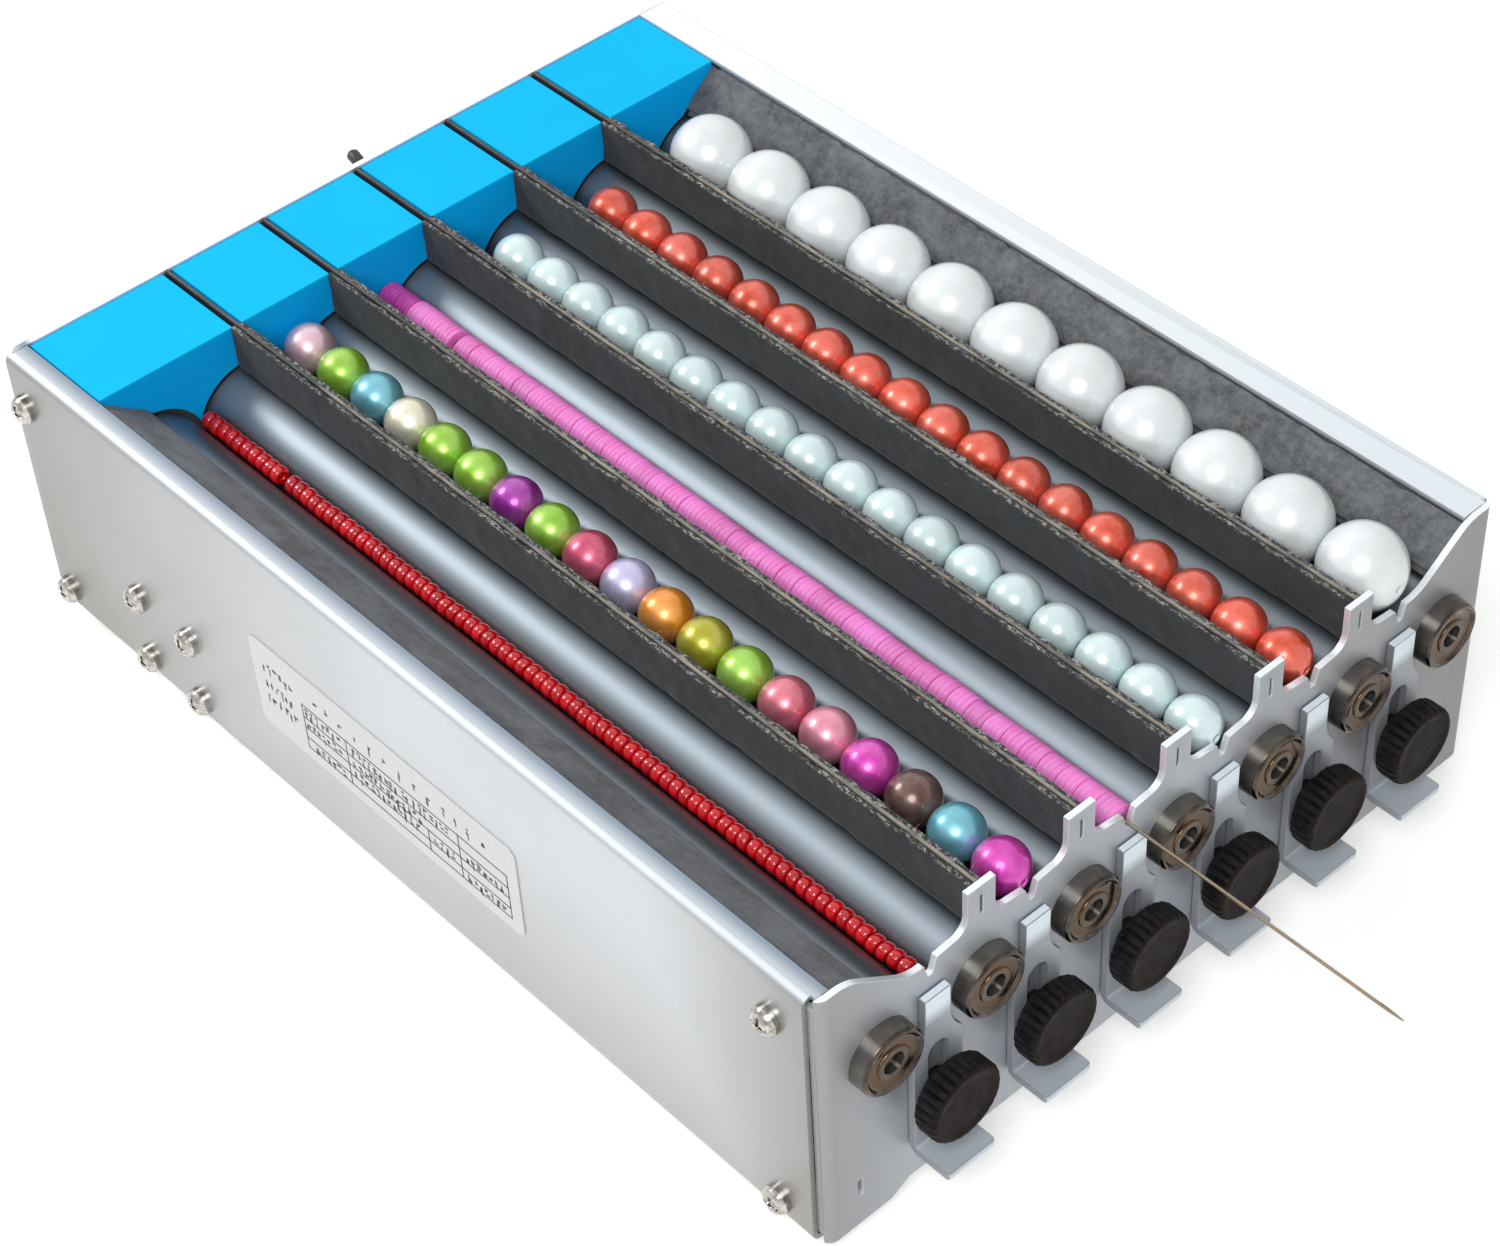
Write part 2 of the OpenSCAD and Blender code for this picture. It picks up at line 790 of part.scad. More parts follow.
module left_end_block() {
    in_frame()
        color("deepskyblue")
            outer_block(left_slope_x, left_foot_x);
}

module right_end_block() {
    in_frame()
        color("deepskyblue")
            mirror([1, 0, 0])
                outer_block(right_slope_x, right_foot_x);
}

module middle_end_blocks() {
    in_frame()
        color("deepskyblue")
            for (k = [2 : lanes - 1])
                difference() {
                    along_y(block_y, block_rear_y)
                        middle_block_2d(lane_x(k));
                    block_hollow(lane_x(k));
                }
}

// Sliding gate: a neck between two bearings, a slot for the thumbscrew and a finger tab
module gate_2d() {
    low = screw_h - gate_up;
    high = screw_h + gate_down;
    difference() {
        union() {
            translate([-gate_w / 2, gate_bottom_z + gate_t + 0.5])
                square([gate_w, axis_z - gate_bottom_z - gate_t - 0.5]);
            translate([-neck_w / 2, axis_z - 1])
                square([neck_w, gate_top_z - axis_z + 1]);
        }
        for (s = [-1, 1])
            translate([s * half_lane, axis_z])
                circle(half_lane - neck_w / 2);
        translate([-slot_w / 2, low])
            square([slot_w, high - low]);
        for (z = [low, high])
            translate([0, z])
                circle(slot_w / 2);
    }
}

module gate(k) {
    in_frame()
        color("lightsteelblue")
            translate([lane_x(k), 0, 0]) {
                along_y(gate_y, gate_y + gate_t)
                    gate_2d();
                gate_bend();
                translate([0, gate_y - 0.5, gate_bottom_z])
                    linear_extrude(gate_t)
                        finger_2d();
            }
}

// Quarter bend from the gate's plate to its finger tab
module gate_bend() {
    r = gate_t + 0.5;
    translate([-gate_w / 2, gate_y - 0.5, gate_bottom_z + r])
        rotate([90, 0, 90])
            linear_extrude(gate_w)
                intersection() {
                    difference() {
                        circle(r);
                        circle(0.5);
                    }
                    translate([0, -r])
                        square(r);
                }
}

// Finger tab from above, with its two front corners just rounded
module finger_2d() {
    r = 0.7;
    l = finger_l - 0.5;
    translate([-gate_w / 2, r - l])
        square([gate_w, l - r]);
    translate([r - gate_w / 2, -l])
        square([gate_w - 2 * r, 2 * r]);
    for (s = [-1, 1])
        translate([s * (gate_w / 2 - r), r - l])
            circle(r);
}

// Ribbed outline of a knob: four points to a rib
function rib_pt(i, n, r) =
    let (step = i % 4, a = 360 * (floor(i / 4) + [0, 0.14, 0.5, 0.64][step]) / n)
    (step == 1 || step == 2 ? r : r - 0.55) * [cos(a), sin(a)];

module thumbscrew(k) {
    r = knob_d / 2;
    ribs = 28;
    rim = min(1.8, knob_t / 3);
    y1 = gate_y - 1.6;
    y0 = y1 - knob_t;
    in_frame()
        color([0.13, 0.13, 0.14])
            translate([lane_x(k), 0, 0])
                union() {
                    along_y(y0 + rim, y1 - 0.5)
                        translate([0, screw_h])
                            polygon([for (i = [0 : 4 * ribs - 1]) rib_pt(i, ribs, r - 0.1)]);
                    turned_y(0, screw_h, concat(
                        [[0, y0 + 0.4], [r - rim - 0.8, y0 + 0.4], [r - rim, y0]],
                        [for (a = [15 : 15 : 90]) [r - rim + rim * sin(a), y0 + rim - rim * cos(a)]],
                        [[r, y0 + rim + 0.5], [r - 0.6, y0 + rim + 0.9], [0, y0 + rim + 0.9]]
                    ));
                    turned_y(0, screw_h, [[0, y1 - 1], [r - 0.6, y1 - 1], [r - 1.2, y1], [0, y1]]);
                    bar_y(0, screw_h, y1 - 0.1, gate_y - slide_gap, 4.2);
                    bar_y(0, screw_h, y1 - 0.1, plate_t + 6, thumb_d / 2);
                }
}

// Round press-in nuts behind the front plate
module gate_nuts() {
    y0 = plate_t + seat;
    in_frame()
        color("gainsboro")
            for (k = [1 : lanes])
                turned_y(lane_x(k), screw_h, [
                    [thumb_d / 2 + fit, y0], [3.8, y0], [3.8, y0 + 2.4], [3.2, y0 + 3],
                    [thumb_d / 2 + fit, y0 + 3]
                ]);
}

// Small speed board on four spacers, with two capacitors, a driver and a terminal block
module circuit_board() {
    w = 46;
    d = 30;
    z = base_top_z + 5;
    in_frame()
        color("darkgreen")
            translate([30 - w / 2, case_d - 62 - d / 2, 0]) {
                translate([0, 0, z])
                    cube([w, d, 1.6]);
                for (px = [4, w - 4])
                    for (py = [4, d - 4])
                        translate([px, py, base_top_z])
                            cylinder(h = z + 0.5 - base_top_z, r = 2.5);
                for (px = [14, 21])
                    translate([px, 20, z + 1])
                        cylinder(h = 9, r = 2.9);
                translate([28, 16, z + 1])
                    cube([9, 8, 3]);
                translate([14, 3, z + 1])
                    cube([16, 7, 8]);
            }
}

module power_jack() {
    y0 = rear_in_y - 11;
    in_frame()
        color([0.12, 0.12, 0.13])
            turned_y(jack_x, jack_z, [
                [0, y0], [4, y0], [4, rear_in_y - 2.4], [5.5, rear_in_y - 2.4], [5.5, rear_in_y - seat],
                [4, rear_in_y - seat], [4, case_d + seat], [5.5, case_d + seat], [5.5, case_d + 2],
                [4, case_d + 2], [4, case_d + 2.5], [2.8, case_d + 2.5], [2.8, y0 + 1.5],
                [1, y0 + 1.5], [1, case_d + 1], [0, case_d + 1]
            ]);
}

// Small toggle switch: body inside, threaded bushing and nut outside
module power_switch() {
    body = [5.2, 6.5, 8.6];
    in_frame()
        color("gainsboro")
            difference() {
                union() {
                    translate([switch_x - body[0] / 2, rear_in_y - body[1], switch_z - body[2] / 2])
                        cube([body[0], body[1] - seat, body[2]]);
                    bar_y(switch_x, switch_z, rear_in_y - 0.5, case_d + bushing_l, bushing_d / 2);
                    bar_y(switch_x, switch_z, case_d + seat, case_d + 1.6, 3.8);
                }
                translate([switch_x, case_d, switch_z])
                    rotate([-90, 0, 0])
                        cylinder(h = bushing_l + cut, r1 = 1.3, r2 = 2.4);
            }
}

// The lever pivots in the mouth of the bushing
module switch_lever() {
    r = lever_d / 2;
    in_frame()
        color([0.1, 0.1, 0.11])
            translate([switch_x, pivot_y, switch_z])
                rotate([lever_tilt, 0, 0])
                    turned_y(0, 0, [
                        [0, -0.6], [0.6, 0], [0.8, 1.5], [r, lever_l * 0.6],
                        [r, lever_l - lever_edge], [r - lever_edge, lever_l], [0, lever_l]
                    ]);
}

// Thin bare label with rounded corners on the left side plate
module side_label() {
    l = 73;
    h = min(21.2, case_h - 22);
    r = 2;
    in_frame()
        color("white")
            translate([-case_w / 2 - seat, 72, floor_z + 16.6])
                rotate([90, 0, -90])
                    translate([-l, 0, 0])
                        linear_extrude(0.2) {
                            translate([r, 0])
                                square([l - 2 * r, h]);
                            translate([0, r])
                                square([l, h - 2 * r]);
                            for (x = [r, l - r])
                                for (z = [r, h - r])
                                    translate([x, z])
                                        circle(r);
                        }
}

// Pan-head screw along +X, with its seat at x = 0 and a cross recess
module pan_screw(length) {
    r = m3_head_d / 2;
    h = m3_head_h;
    slot = 0.7;
    difference() {
        rotate([0, 90, 0])
            rotate_extrude()
                polygon([
                    [0, -h], [r * 0.45, -h], [r * 0.8, -h * 0.82], [r, -h * 0.4], [r, 0],
                    [m3_r, 0], [m3_r, length - 0.5], [m3_r - 0.5, length], [0, length]
                ]);
        translate([-h - cut, -slot / 2, -r * 0.6])
            cube([cut + 1.2, slot, r * 1.2]);
        translate([-h - cut, -r * 0.6, -slot / 2])
            cube([cut + 1.2, r * 1.2, slot]);
    }
}

module case_screws() {
    face = case_w / 2 + seat;
    in_frame()
        color("whitesmoke") {
            for (s = corner_screws)
                translate([-face, s[0], floor_z + s[1]])
                    pan_screw(5);
            for (s = bracket_screws)
                translate([-face, s[0], floor_z + s[1]])
                    pan_screw(3.8);
            for (s = corner_screws)
                translate([face, s[0], floor_z + s[1]])
                    mirror([1, 0, 0])
                        pan_screw(5);
            for (s = [-1, 1])
                for (y = foot_y)
                    translate([s * (case_w / 2 - foot_in), y, floor_z - 0.5])
                        rotate([0, -90, 0])
                            pan_screw(5);
        }
}

// Rubber feet with a sunk seat for their screw
module feet() {
    r = foot_d / 2;
    head_r = m3_head_d / 2 + 0.3;
    in_frame()
        color([0.15, 0.15, 0.15])
            for (s = [-1, 1])
                for (y = foot_y)
                    translate([s * (case_w / 2 - foot_in), y, 0])
                        rotate_extrude()
                            polygon([
                                [head_r, 0], [r - 0.8, 0], [r, 0.8], [r, foot_h - seat],
                                [m3_r + 0.2, foot_h - seat], [m3_r + 0.2, foot_h - 0.45],
                                [head_r, foot_h - 0.45]
                            ]);
}

// Straight beading needle that lies in the notch of lane 3, threaded into the discs
module needle() {
    z = needle_z;
    r = needle_d / 2;
    in_frame()
        color("silver")
            difference() {
                turned_y(lane_x(3), z, [
                    [0, -needle_out], [r * 0.6, -needle_out + 0.4], [r, -needle_out + 3],
                    [r, 30], [r * 0.3, 36], [0, 36]
                ]);
                translate([lane_x(3) - 0.12, -needle_out + 1.5, z - cut])
                    cube([0.24, 3, 2 * cut]);
            }
}

// Row of single beads with a common axis; a short lane holds fewer of them
module pearl_row(k, d0, n, ease, hole) {
    d = min(d0, lane_w);
    z = bead_z(d / 2);
    over = min(d / 2, max(0, z - shelf_z));
    first = plate_t + sqrt(pow(d / 2 + gap, 2) - over * over);
    room = row_end - first + d / 2;
    count = min(n, floor(room / (d + 0.04)));
    pitch = min(d + ease, (room - d) / max(1, count - 1));
    in_frame()
        for (i = [0 : count - 1])
            translate([lane_x(k), first + i * pitch, z])
                difference() {
                    sphere(d = d);
                    rotate([-90, 0, 0])
                        cylinder(h = d + cut, r = hole / 2, center = true);
                }
}

// Stack of count thin beads with a fine groove between two of them
function stack_pts(r, groove, pitch, count) = [
    for (i = [0 : count - 1]) each [
        [r - groove, i * pitch], [r, i * pitch + groove], [r, (i + 1) * pitch - groove]
    ],
    [r - groove, count * pitch]
];

module stack_row(k, d, t, n, count, groove, hole_r) {
    space = 0.06;
    room = row_end - row_start - 0.3;
    stacks = min(n / count, floor(room / (count * t)));
    slack = min(1.8, room - stacks * count * t);
    in_frame()
        for (i = [0 : stacks - 1])
            translate([0, row_start + 0.3 + i * count * t + (i == stacks - 1 ? slack : 0), 0])
                turned_y(lane_x(k), bead_z(d / 2), concat(
                    [[hole_r, 0]], stack_pts(d / 2, groove, t - space / count, count),
                    [[hole_r, count * t - space]]
                ));
}

module bead_row(k) {
    if (k == 1)
        color("crimson")
            stack_row(1, seed_d, 0.642 * seed_d, seed_n, 10, 0.3, 0.5);
    if (k == 2)
        color("orchid")
            pearl_row(2, mixed_d, mixed_n, 0.067, 1.6);
    if (k == 3)
        color("hotpink")
            stack_row(3, disc_d, disc_t, disc_n, 20, 0.12, disc_hole_r);
    if (k == 4)
        color("powderblue")
            pearl_row(4, pearl_d, pearl_n, 0.23, 1.6);
    if (k == 5)
        color("tomato")
            pearl_row(5, pearl_d, pearl_n, 0.13, 1.6);
    if (k == 6)
        color("ghostwhite")
            pearl_row(6, large_d, large_n, 0.2, 2.4);
}

left_side_plate();
right_side_plate();
front_plate();
rear_plate();
base_plate();
bearing_plate();
front_bearings();
rear_bearings();
roller(1);  // roller_1
roller(2);  // roller_2
roller(3);  // roller_3
roller(4);  // roller_4
roller(5);  // roller_5
roller(6);  // roller_6
roller(7);  // roller_7
shaft(1);  // shaft_1
shaft(2);  // shaft_2
shaft(3);  // shaft_3
shaft(4);  // shaft_4
shaft(5);  // shaft_5
shaft(6);  // shaft_6
shaft(7);  // shaft_7
drive_belts();
motor();
motor_bracket();
motor_pulley();
dividers();
divider_felts();
guide_walls();
guide_felts();
left_end_block();
middle_end_blocks();
right_end_block();
gate(1);  // gate_1
gate(2);  // gate_2
gate(3);  // gate_3
gate(4);  // gate_4
gate(5);  // gate_5
gate(6);  // gate_6
thumbscrew(1);  // thumbscrew_1
thumbscrew(2);  // thumbscrew_2
thumbscrew(3);  // thumbscrew_3
thumbscrew(4);  // thumbscrew_4
thumbscrew(5);  // thumbscrew_5
thumbscrew(6);  // thumbscrew_6
gate_nuts();
circuit_board();
power_jack();
power_switch();
switch_lever();
side_label();
case_screws();
feet();
needle();
bead_row(1);  // bead_row_1
bead_row(2);  // bead_row_2
bead_row(3);  // bead_row_3
bead_row(4);  // bead_row_4
bead_row(5);  // bead_row_5
bead_row(6);  // bead_row_6
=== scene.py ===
import json
import math

import bmesh
import bpy
import numpy as np
from mathutils import Matrix, Vector

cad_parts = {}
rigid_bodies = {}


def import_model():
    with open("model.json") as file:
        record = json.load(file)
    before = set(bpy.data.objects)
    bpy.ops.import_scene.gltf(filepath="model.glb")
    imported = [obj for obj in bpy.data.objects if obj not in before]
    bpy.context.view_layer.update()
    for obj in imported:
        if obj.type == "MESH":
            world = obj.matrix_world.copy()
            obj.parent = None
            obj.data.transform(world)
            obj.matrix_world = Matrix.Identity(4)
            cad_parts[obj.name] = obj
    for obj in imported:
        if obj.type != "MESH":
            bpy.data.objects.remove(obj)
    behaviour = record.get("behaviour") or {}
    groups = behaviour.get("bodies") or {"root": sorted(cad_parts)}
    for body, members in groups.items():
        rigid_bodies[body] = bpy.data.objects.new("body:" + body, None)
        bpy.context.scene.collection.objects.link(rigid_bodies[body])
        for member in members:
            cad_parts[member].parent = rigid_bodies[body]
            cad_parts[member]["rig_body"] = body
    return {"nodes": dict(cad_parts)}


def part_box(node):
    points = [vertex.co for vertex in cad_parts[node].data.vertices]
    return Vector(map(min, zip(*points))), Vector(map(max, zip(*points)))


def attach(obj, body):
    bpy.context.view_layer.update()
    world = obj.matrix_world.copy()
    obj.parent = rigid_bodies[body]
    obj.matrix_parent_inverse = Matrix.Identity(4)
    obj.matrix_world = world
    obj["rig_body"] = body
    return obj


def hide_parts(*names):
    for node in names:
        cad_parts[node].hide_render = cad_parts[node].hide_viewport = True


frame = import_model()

for spare in ("Cube", "Light", "Camera"):
    if spare in bpy.data.objects:
        bpy.data.objects.remove(bpy.data.objects[spare])
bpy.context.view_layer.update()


# Case: side plates, front plate, rear plate, bearing plate and base plate.
# Steel sheet, 1 to 1.2 mm, laser cut and folded, with the cut edges eased by tumbling.
# The sheets have a fine satin silver coat and are held together by M3 screws.

mm = 0.001
nodes = frame["nodes"]
case_top = 63 * mm
case_side = 79.2 * mm


def fitted(piece, material, body, node=None):
    """Gives a piece its material and slot, rides it on its body, and lets it stand for its CAD node."""
    piece.data.materials.append(material)
    if node:
        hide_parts(node)
    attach(piece, body)


def merged(mesh):
    """A CAD mesh, which is loose triangles, as a bmesh with its shared corners merged."""
    shape = bmesh.new()
    shape.from_mesh(mesh)
    bmesh.ops.remove_doubles(shape, verts=shape.verts, dist=0.002 * mm)
    return shape


def eased(node, width, material, edge=None, is_edge=None):
    """A copy of a CAD piece with its flat faces joined into one, and every edge sharper than 32 degrees
    rounded over by the width in mm, as tumbling or moulding rounds it. The faces that is_edge(middle,
    normal) picks, and the rounding, take the edge material."""
    nearly_flat, sharp = math.radians(0.6), math.radians(32)
    source = nodes[node]
    mesh = source.data.copy()
    piece = bpy.data.objects.new(node + "_eased", mesh)
    bpy.context.scene.collection.objects.link(piece)
    shape = merged(mesh)
    bmesh.ops.dissolve_limit(shape, angle_limit=nearly_flat, verts=shape.verts, edges=shape.edges)
    shape.to_mesh(mesh)
    shape.free()
    mesh.shade_smooth()
    mesh.set_sharp_from_angle(angle=sharp)
    if width > 0:
        rounding = piece.modifiers.new("eased edges", "BEVEL")
        rounding.width = width * mm
        rounding.segments = 2
        rounding.limit_method = "ANGLE"
        rounding.angle_limit = sharp
        rounding.harden_normals = True
        rounding.miter_outer = "MITER_ARC"
    mesh.materials.clear()
    fitted(piece, material, source["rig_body"], node)
    if edge:
        mesh.materials.append(edge)
        rounding.material = 1
        for face in mesh.polygons:
            if is_edge(face.center, face.normal):
                face.material_index = 1
    return piece


def finish(name, metallic, roughness=None):
    """A new material with plain metalness, and plain roughness unless something else will feed it;
    returns it with its node tree and its shader."""
    material = bpy.data.materials.new(name)
    material.use_nodes = True
    tree = material.node_tree
    shader = tree.nodes["Principled BSDF"]
    shader.inputs["Metallic"].default_value = metallic
    if roughness is not None:
        shader.inputs["Roughness"].default_value = roughness
    return material, tree, shader


def give(tree, socket, value):
    """Sets an input to a number or a colour, or links it to the value where that is a socket."""
    if isinstance(value, bpy.types.NodeSocket):
        tree.links.new(value, socket)
    elif socket.type == "RGBA":
        socket.default_value = (*value, 1)
    else:
        socket.default_value = value


def source_of(shader, label):
    """The socket that feeds an input of the shader so far."""
    return shader.inputs[label].links[0].from_socket


def effect(name, inputs, outputs):
    """An empty node group with named inputs and outputs {name: kind}, and the sockets of both."""
    group = bpy.data.node_groups.new(name, "ShaderNodeTree")
    for way, labels in (("INPUT", inputs), ("OUTPUT", outputs)):
        for label, kind in labels.items():
            group.interface.new_socket(label, in_out=way, socket_type="NodeSocket" + kind)
    return group, group.nodes.new("NodeGroupInput").outputs, group.nodes.new("NodeGroupOutput").inputs


def stretched(tree, vector, stretch):
    """A vector stretched along the three axes."""
    mapping = tree.nodes.new("ShaderNodeMapping")
    mapping.inputs["Scale"].default_value = stretch
    tree.links.new(vector, mapping.inputs["Vector"])
    return mapping.outputs["Vector"]


def place(tree, stretch=(1, 1, 1)):
    """Object coordinates, stretched along the three axes."""
    return stretched(tree, tree.nodes.new("ShaderNodeTexCoord").outputs["Object"], stretch)


def axis(tree, name, vector=None):
    """The X, Y or Z of a vector, or of the object coordinates where none is given."""
    split = tree.nodes.new("ShaderNodeSeparateXYZ")
    tree.links.new(place(tree) if vector is None else vector, split.inputs[0])
    return split.outputs[name]


def placed(tree, group, values, stretch=(1, 1, 1)):
    """Places a node group in a material, on its object coordinates and with its own values."""
    node = tree.nodes.new("ShaderNodeGroup")
    node.node_tree = group
    give(tree, node.inputs["Vector"], place(tree, stretch))
    for label, value in values.items():
        give(tree, node.inputs[label], value)
    return node.outputs


def noise(tree, vector, scale, detail=2.0, fine=0.5):
    """A noise texture at so many cycles a metre; fine is how much its small waves count."""
    node = tree.nodes.new("ShaderNodeTexNoise")
    for label, value in (("Vector", vector), ("Scale", scale), ("Detail", detail), ("Roughness", fine)):
        give(tree, node.inputs[label], value)
    return node.outputs["Fac"]


def span(tree, value, low, high, to_low=0.0, to_high=1.0):
    """Maps a value from one span to another, held at the ends."""
    node = tree.nodes.new("ShaderNodeMapRange")
    labels = ("Value", "From Min", "From Max", "To Min", "To Max")
    for label, number in zip(labels, (value, low, high, to_low, to_high)):
        give(tree, node.inputs[label], number)
    return node.outputs["Result"]


def calc(tree, how, a, b):
    """One sum of two values, each a socket or a number."""
    node = tree.nodes.new("ShaderNodeMath")
    node.operation = how
    give(tree, node.inputs[0], a)
    give(tree, node.inputs[1], b)
    return node.outputs[0]


def times(tree, a, b):
    """The product of two values, each a socket or a number."""
    return calc(tree, "MULTIPLY", a, b)


def tint(tree, factor, a, b, how="MIX"):
    """Blends two colours, each a socket or a plain colour, by a factor."""
    node = tree.nodes.new("ShaderNodeMix")
    node.data_type = "RGBA"
    node.blend_type = how
    for socket, value in ((node.inputs[0], factor), (node.inputs[6], a), (node.inputs[7], b)):
        give(tree, socket, value)
    return node.outputs[2]


def relief(tree, shader, height, depth):
    """Feeds a height from 0 to 1, which stands for so many mm, to the shader's normal by a bump node."""
    bump = tree.nodes.new("ShaderNodeBump")
    bump.inputs["Strength"].default_value = 1.0
    bump.inputs["Distance"].default_value = depth * mm
    tree.links.new(height, bump.inputs["Height"])
    tree.links.new(bump.outputs["Normal"], shader.inputs["Normal"])


# The coat's own look: a speckle of metal flake, broad cloudy smudges from handling, and a few rubbed spots.
coat, given, made = effect(
    "satin coat",
    {"Vector": "Vector", "Colour": "Color", "Rubbed": "Color", "Roughness": "Float", "Flake": "Float",
     "Smudge": "Float"},
    {"Colour": "Color", "Roughness": "Float", "Height": "Float"},
)
flake = noise(coat, given["Vector"], 5200, 1.0)
cloud = noise(coat, given["Vector"], 34, 3.0, 0.6)
rub = span(coat, noise(coat, given["Vector"], 210, 4.0, 0.7), 0.66, 0.76, 0, 0.5)
flecked = tint(coat, times(coat, given["Flake"], flake), given["Colour"], (1.0, 1.0, 1.0))
clouded = tint(coat, times(coat, given["Smudge"], cloud), flecked, (0.25, 0.26, 0.28))
give(coat, made["Colour"], tint(coat, times(coat, rub, 0.18), clouded, given["Rubbed"]))
wander = times(coat, calc(coat, "SUBTRACT", cloud, 0.5), 0.22)
give(coat, made["Roughness"], calc(coat, "ADD", given["Roughness"], wander))
give(coat, made["Height"], flake)


def coated(name, colour, metallic, roughness, flake_amount=0.1, smudge=0.12):
    """Satin silver coat on sheet metal, with its flake, smudges and rubbed spots."""
    material, tree, shader = finish(name, metallic)
    rubbed = tuple(min(1, share * 1.25) for share in colour)
    look = placed(tree, coat, {"Colour": colour, "Rubbed": rubbed, "Roughness": roughness,
                               "Flake": flake_amount, "Smudge": smudge})
    give(tree, shader.inputs["Base Color"], look["Colour"])
    give(tree, shader.inputs["Roughness"], look["Roughness"])
    relief(tree, shader, look["Height"], 0.006)
    return material, tree, shader


# Painted shade and reflection: the sides are darker and warmer low down, and darker at both ends.
# Painted highlights on top of the flanges: the left flange darkens towards its lip, and the right one is
# pale, most of all at the rear.
fade_down, fade_to_rear, fade_to_front = (56 * mm, 12 * mm), (20 * mm, 125 * mm), (-45 * mm, -83 * mm)
flange_fade = (110 * mm, -60 * mm)
silver, tree, shader = coated("silver case coat", (0.52, 0.54, 0.565), 0.75, 0.33)
x, y, z = axis(tree, "X"), axis(tree, "Y"), axis(tree, "Z")
uneven_z = calc(tree, "ADD", z, times(tree, noise(tree, place(tree), 16), 18 * mm))
# Painted shade and reflection on the sides: darker and warmer low down, and darker towards both ends.
painted_low_shade = span(tree, uneven_z, *fade_down)
ends = calc(tree, "MAXIMUM", span(tree, y, *fade_to_rear), span(tree, y, *fade_to_front))
wear_and_painted_shade = calc(tree, "MAXIMUM", times(tree, painted_low_shade, 0.55), ends)
painted_shade_colour = tint(tree, painted_low_shade, (0.285, 0.281, 0.278), (0.258, 0.243, 0.228))
sides = tint(tree, wear_and_painted_shade, source_of(shader, "Base Color"), painted_shade_colour)
# Painted highlights on top of the flanges: light at the left bend and darker at its lip, pale on the right
# and palest at the rear.
bend, lip = 1.4 * mm - case_side, 4 * mm - case_side
left_flange_painted_highlight = tint(tree, span(tree, x, bend, lip), (0.56, 0.59, 0.62), (0.27, 0.32, 0.38))
right_flange_painted_highlight = tint(tree, span(tree, y, *flange_fade), (0.86, 0.88, 0.89), (0.70, 0.745, 0.77))
past_lip = span(tree, x, lip + 0.6 * mm, lip + 2.2 * mm)
painted_light_on_top = span(tree, z, case_top - 1.1 * mm, case_top - 0.4 * mm)
flanges = tint(tree, past_lip, left_flange_painted_highlight, right_flange_painted_highlight)
give(tree, shader.inputs["Base Color"], tint(tree, painted_light_on_top, sides, flanges))
gloss = source_of(shader, "Roughness")
give(tree, shader.inputs["Roughness"], calc(tree, "MAXIMUM", gloss, times(tree, painted_light_on_top, 0.6)))

# The front plate is painted darker towards its right and left ends: painted shade.
front_silver, tree, shader = coated("front plate coat", (0.40, 0.42, 0.455), 0.45, 0.42, 0.06, 0.08)
fade_to_right, fade_to_left, left_share = (10 * mm, 78 * mm), (-60 * mm, -78 * mm), 0.7
x = axis(tree, "X")
front_painted_shade = calc(tree, "MAXIMUM", span(tree, x, *fade_to_right), span(tree, x, *fade_to_left, 0, left_share))
clean = source_of(shader, "Base Color")
give(tree, shader.inputs["Base Color"], tint(tree, front_painted_shade, clean, (0.27, 0.265, 0.262)))

# The cut edges are bare metal, and their pale, bright colour is partly a painted highlight.
bare_cut_edge_with_highlight = coated("cut edge of the front plate", (0.82, 0.85, 0.88), 0.5, 0.34, 0.1, 0.05)[0]
inner_silver = coated("inner sheet", (0.50, 0.51, 0.53), 0.7, 0.42, 0.1, 0.15)[0]
corner_bend = 76 * mm


def cut_edge(middle, normal):
    """Whether a face of the front plate is on its cut edge: it doesn't face to the front or the rear, and at
    the bent corners, where the sheet itself turns sideways, it faces up or down."""
    return abs(normal.y) < 0.7 and (abs(middle.x) < corner_bend or abs(normal.z) > 0.5)


eased("left_side_plate", 0.16, silver)
eased("right_side_plate", 0.16, silver)
eased("front_plate", 0.2, front_silver, bare_cut_edge_with_highlight, cut_edge)
eased("rear_plate", 0.16, silver)
eased("base_plate", 0.12, inner_silver)
eased("bearing_plate", 0.12, inner_silver)


# Screws of the case, and the round nuts behind the front plate.
# M3 pan heads with a cross recess, nickel plated steel, screwed into pressed threads in the sheets.
# The plating is bright, with a darker tone mottled over it at random.

# Grain: a noise that blends two colours, by no more than a given share of the second.
grain, given, made = effect(
    "grain",
    {"Vector": "Vector", "Scale": "Float", "Detail": "Float", "Fine": "Float", "From": "Float", "To": "Float",
     "Most": "Float", "Low": "Color", "High": "Color"},
    {"Colour": "Color", "Grain": "Float"},
)
waves = noise(grain, given["Vector"], given["Scale"], given["Detail"], given["Fine"])
share = span(grain, waves, given["From"], given["To"], 0.0, given["Most"])
give(grain, made["Colour"], tint(grain, share, given["Low"], given["High"]))
give(grain, made["Grain"], waves)


def own_tint(tree):
    """The colour that a bead or a hair of a mesh has of its own."""
    node = tree.nodes.new("ShaderNodeAttribute")
    node.attribute_name = "own tint"
    return node.outputs["Color"]


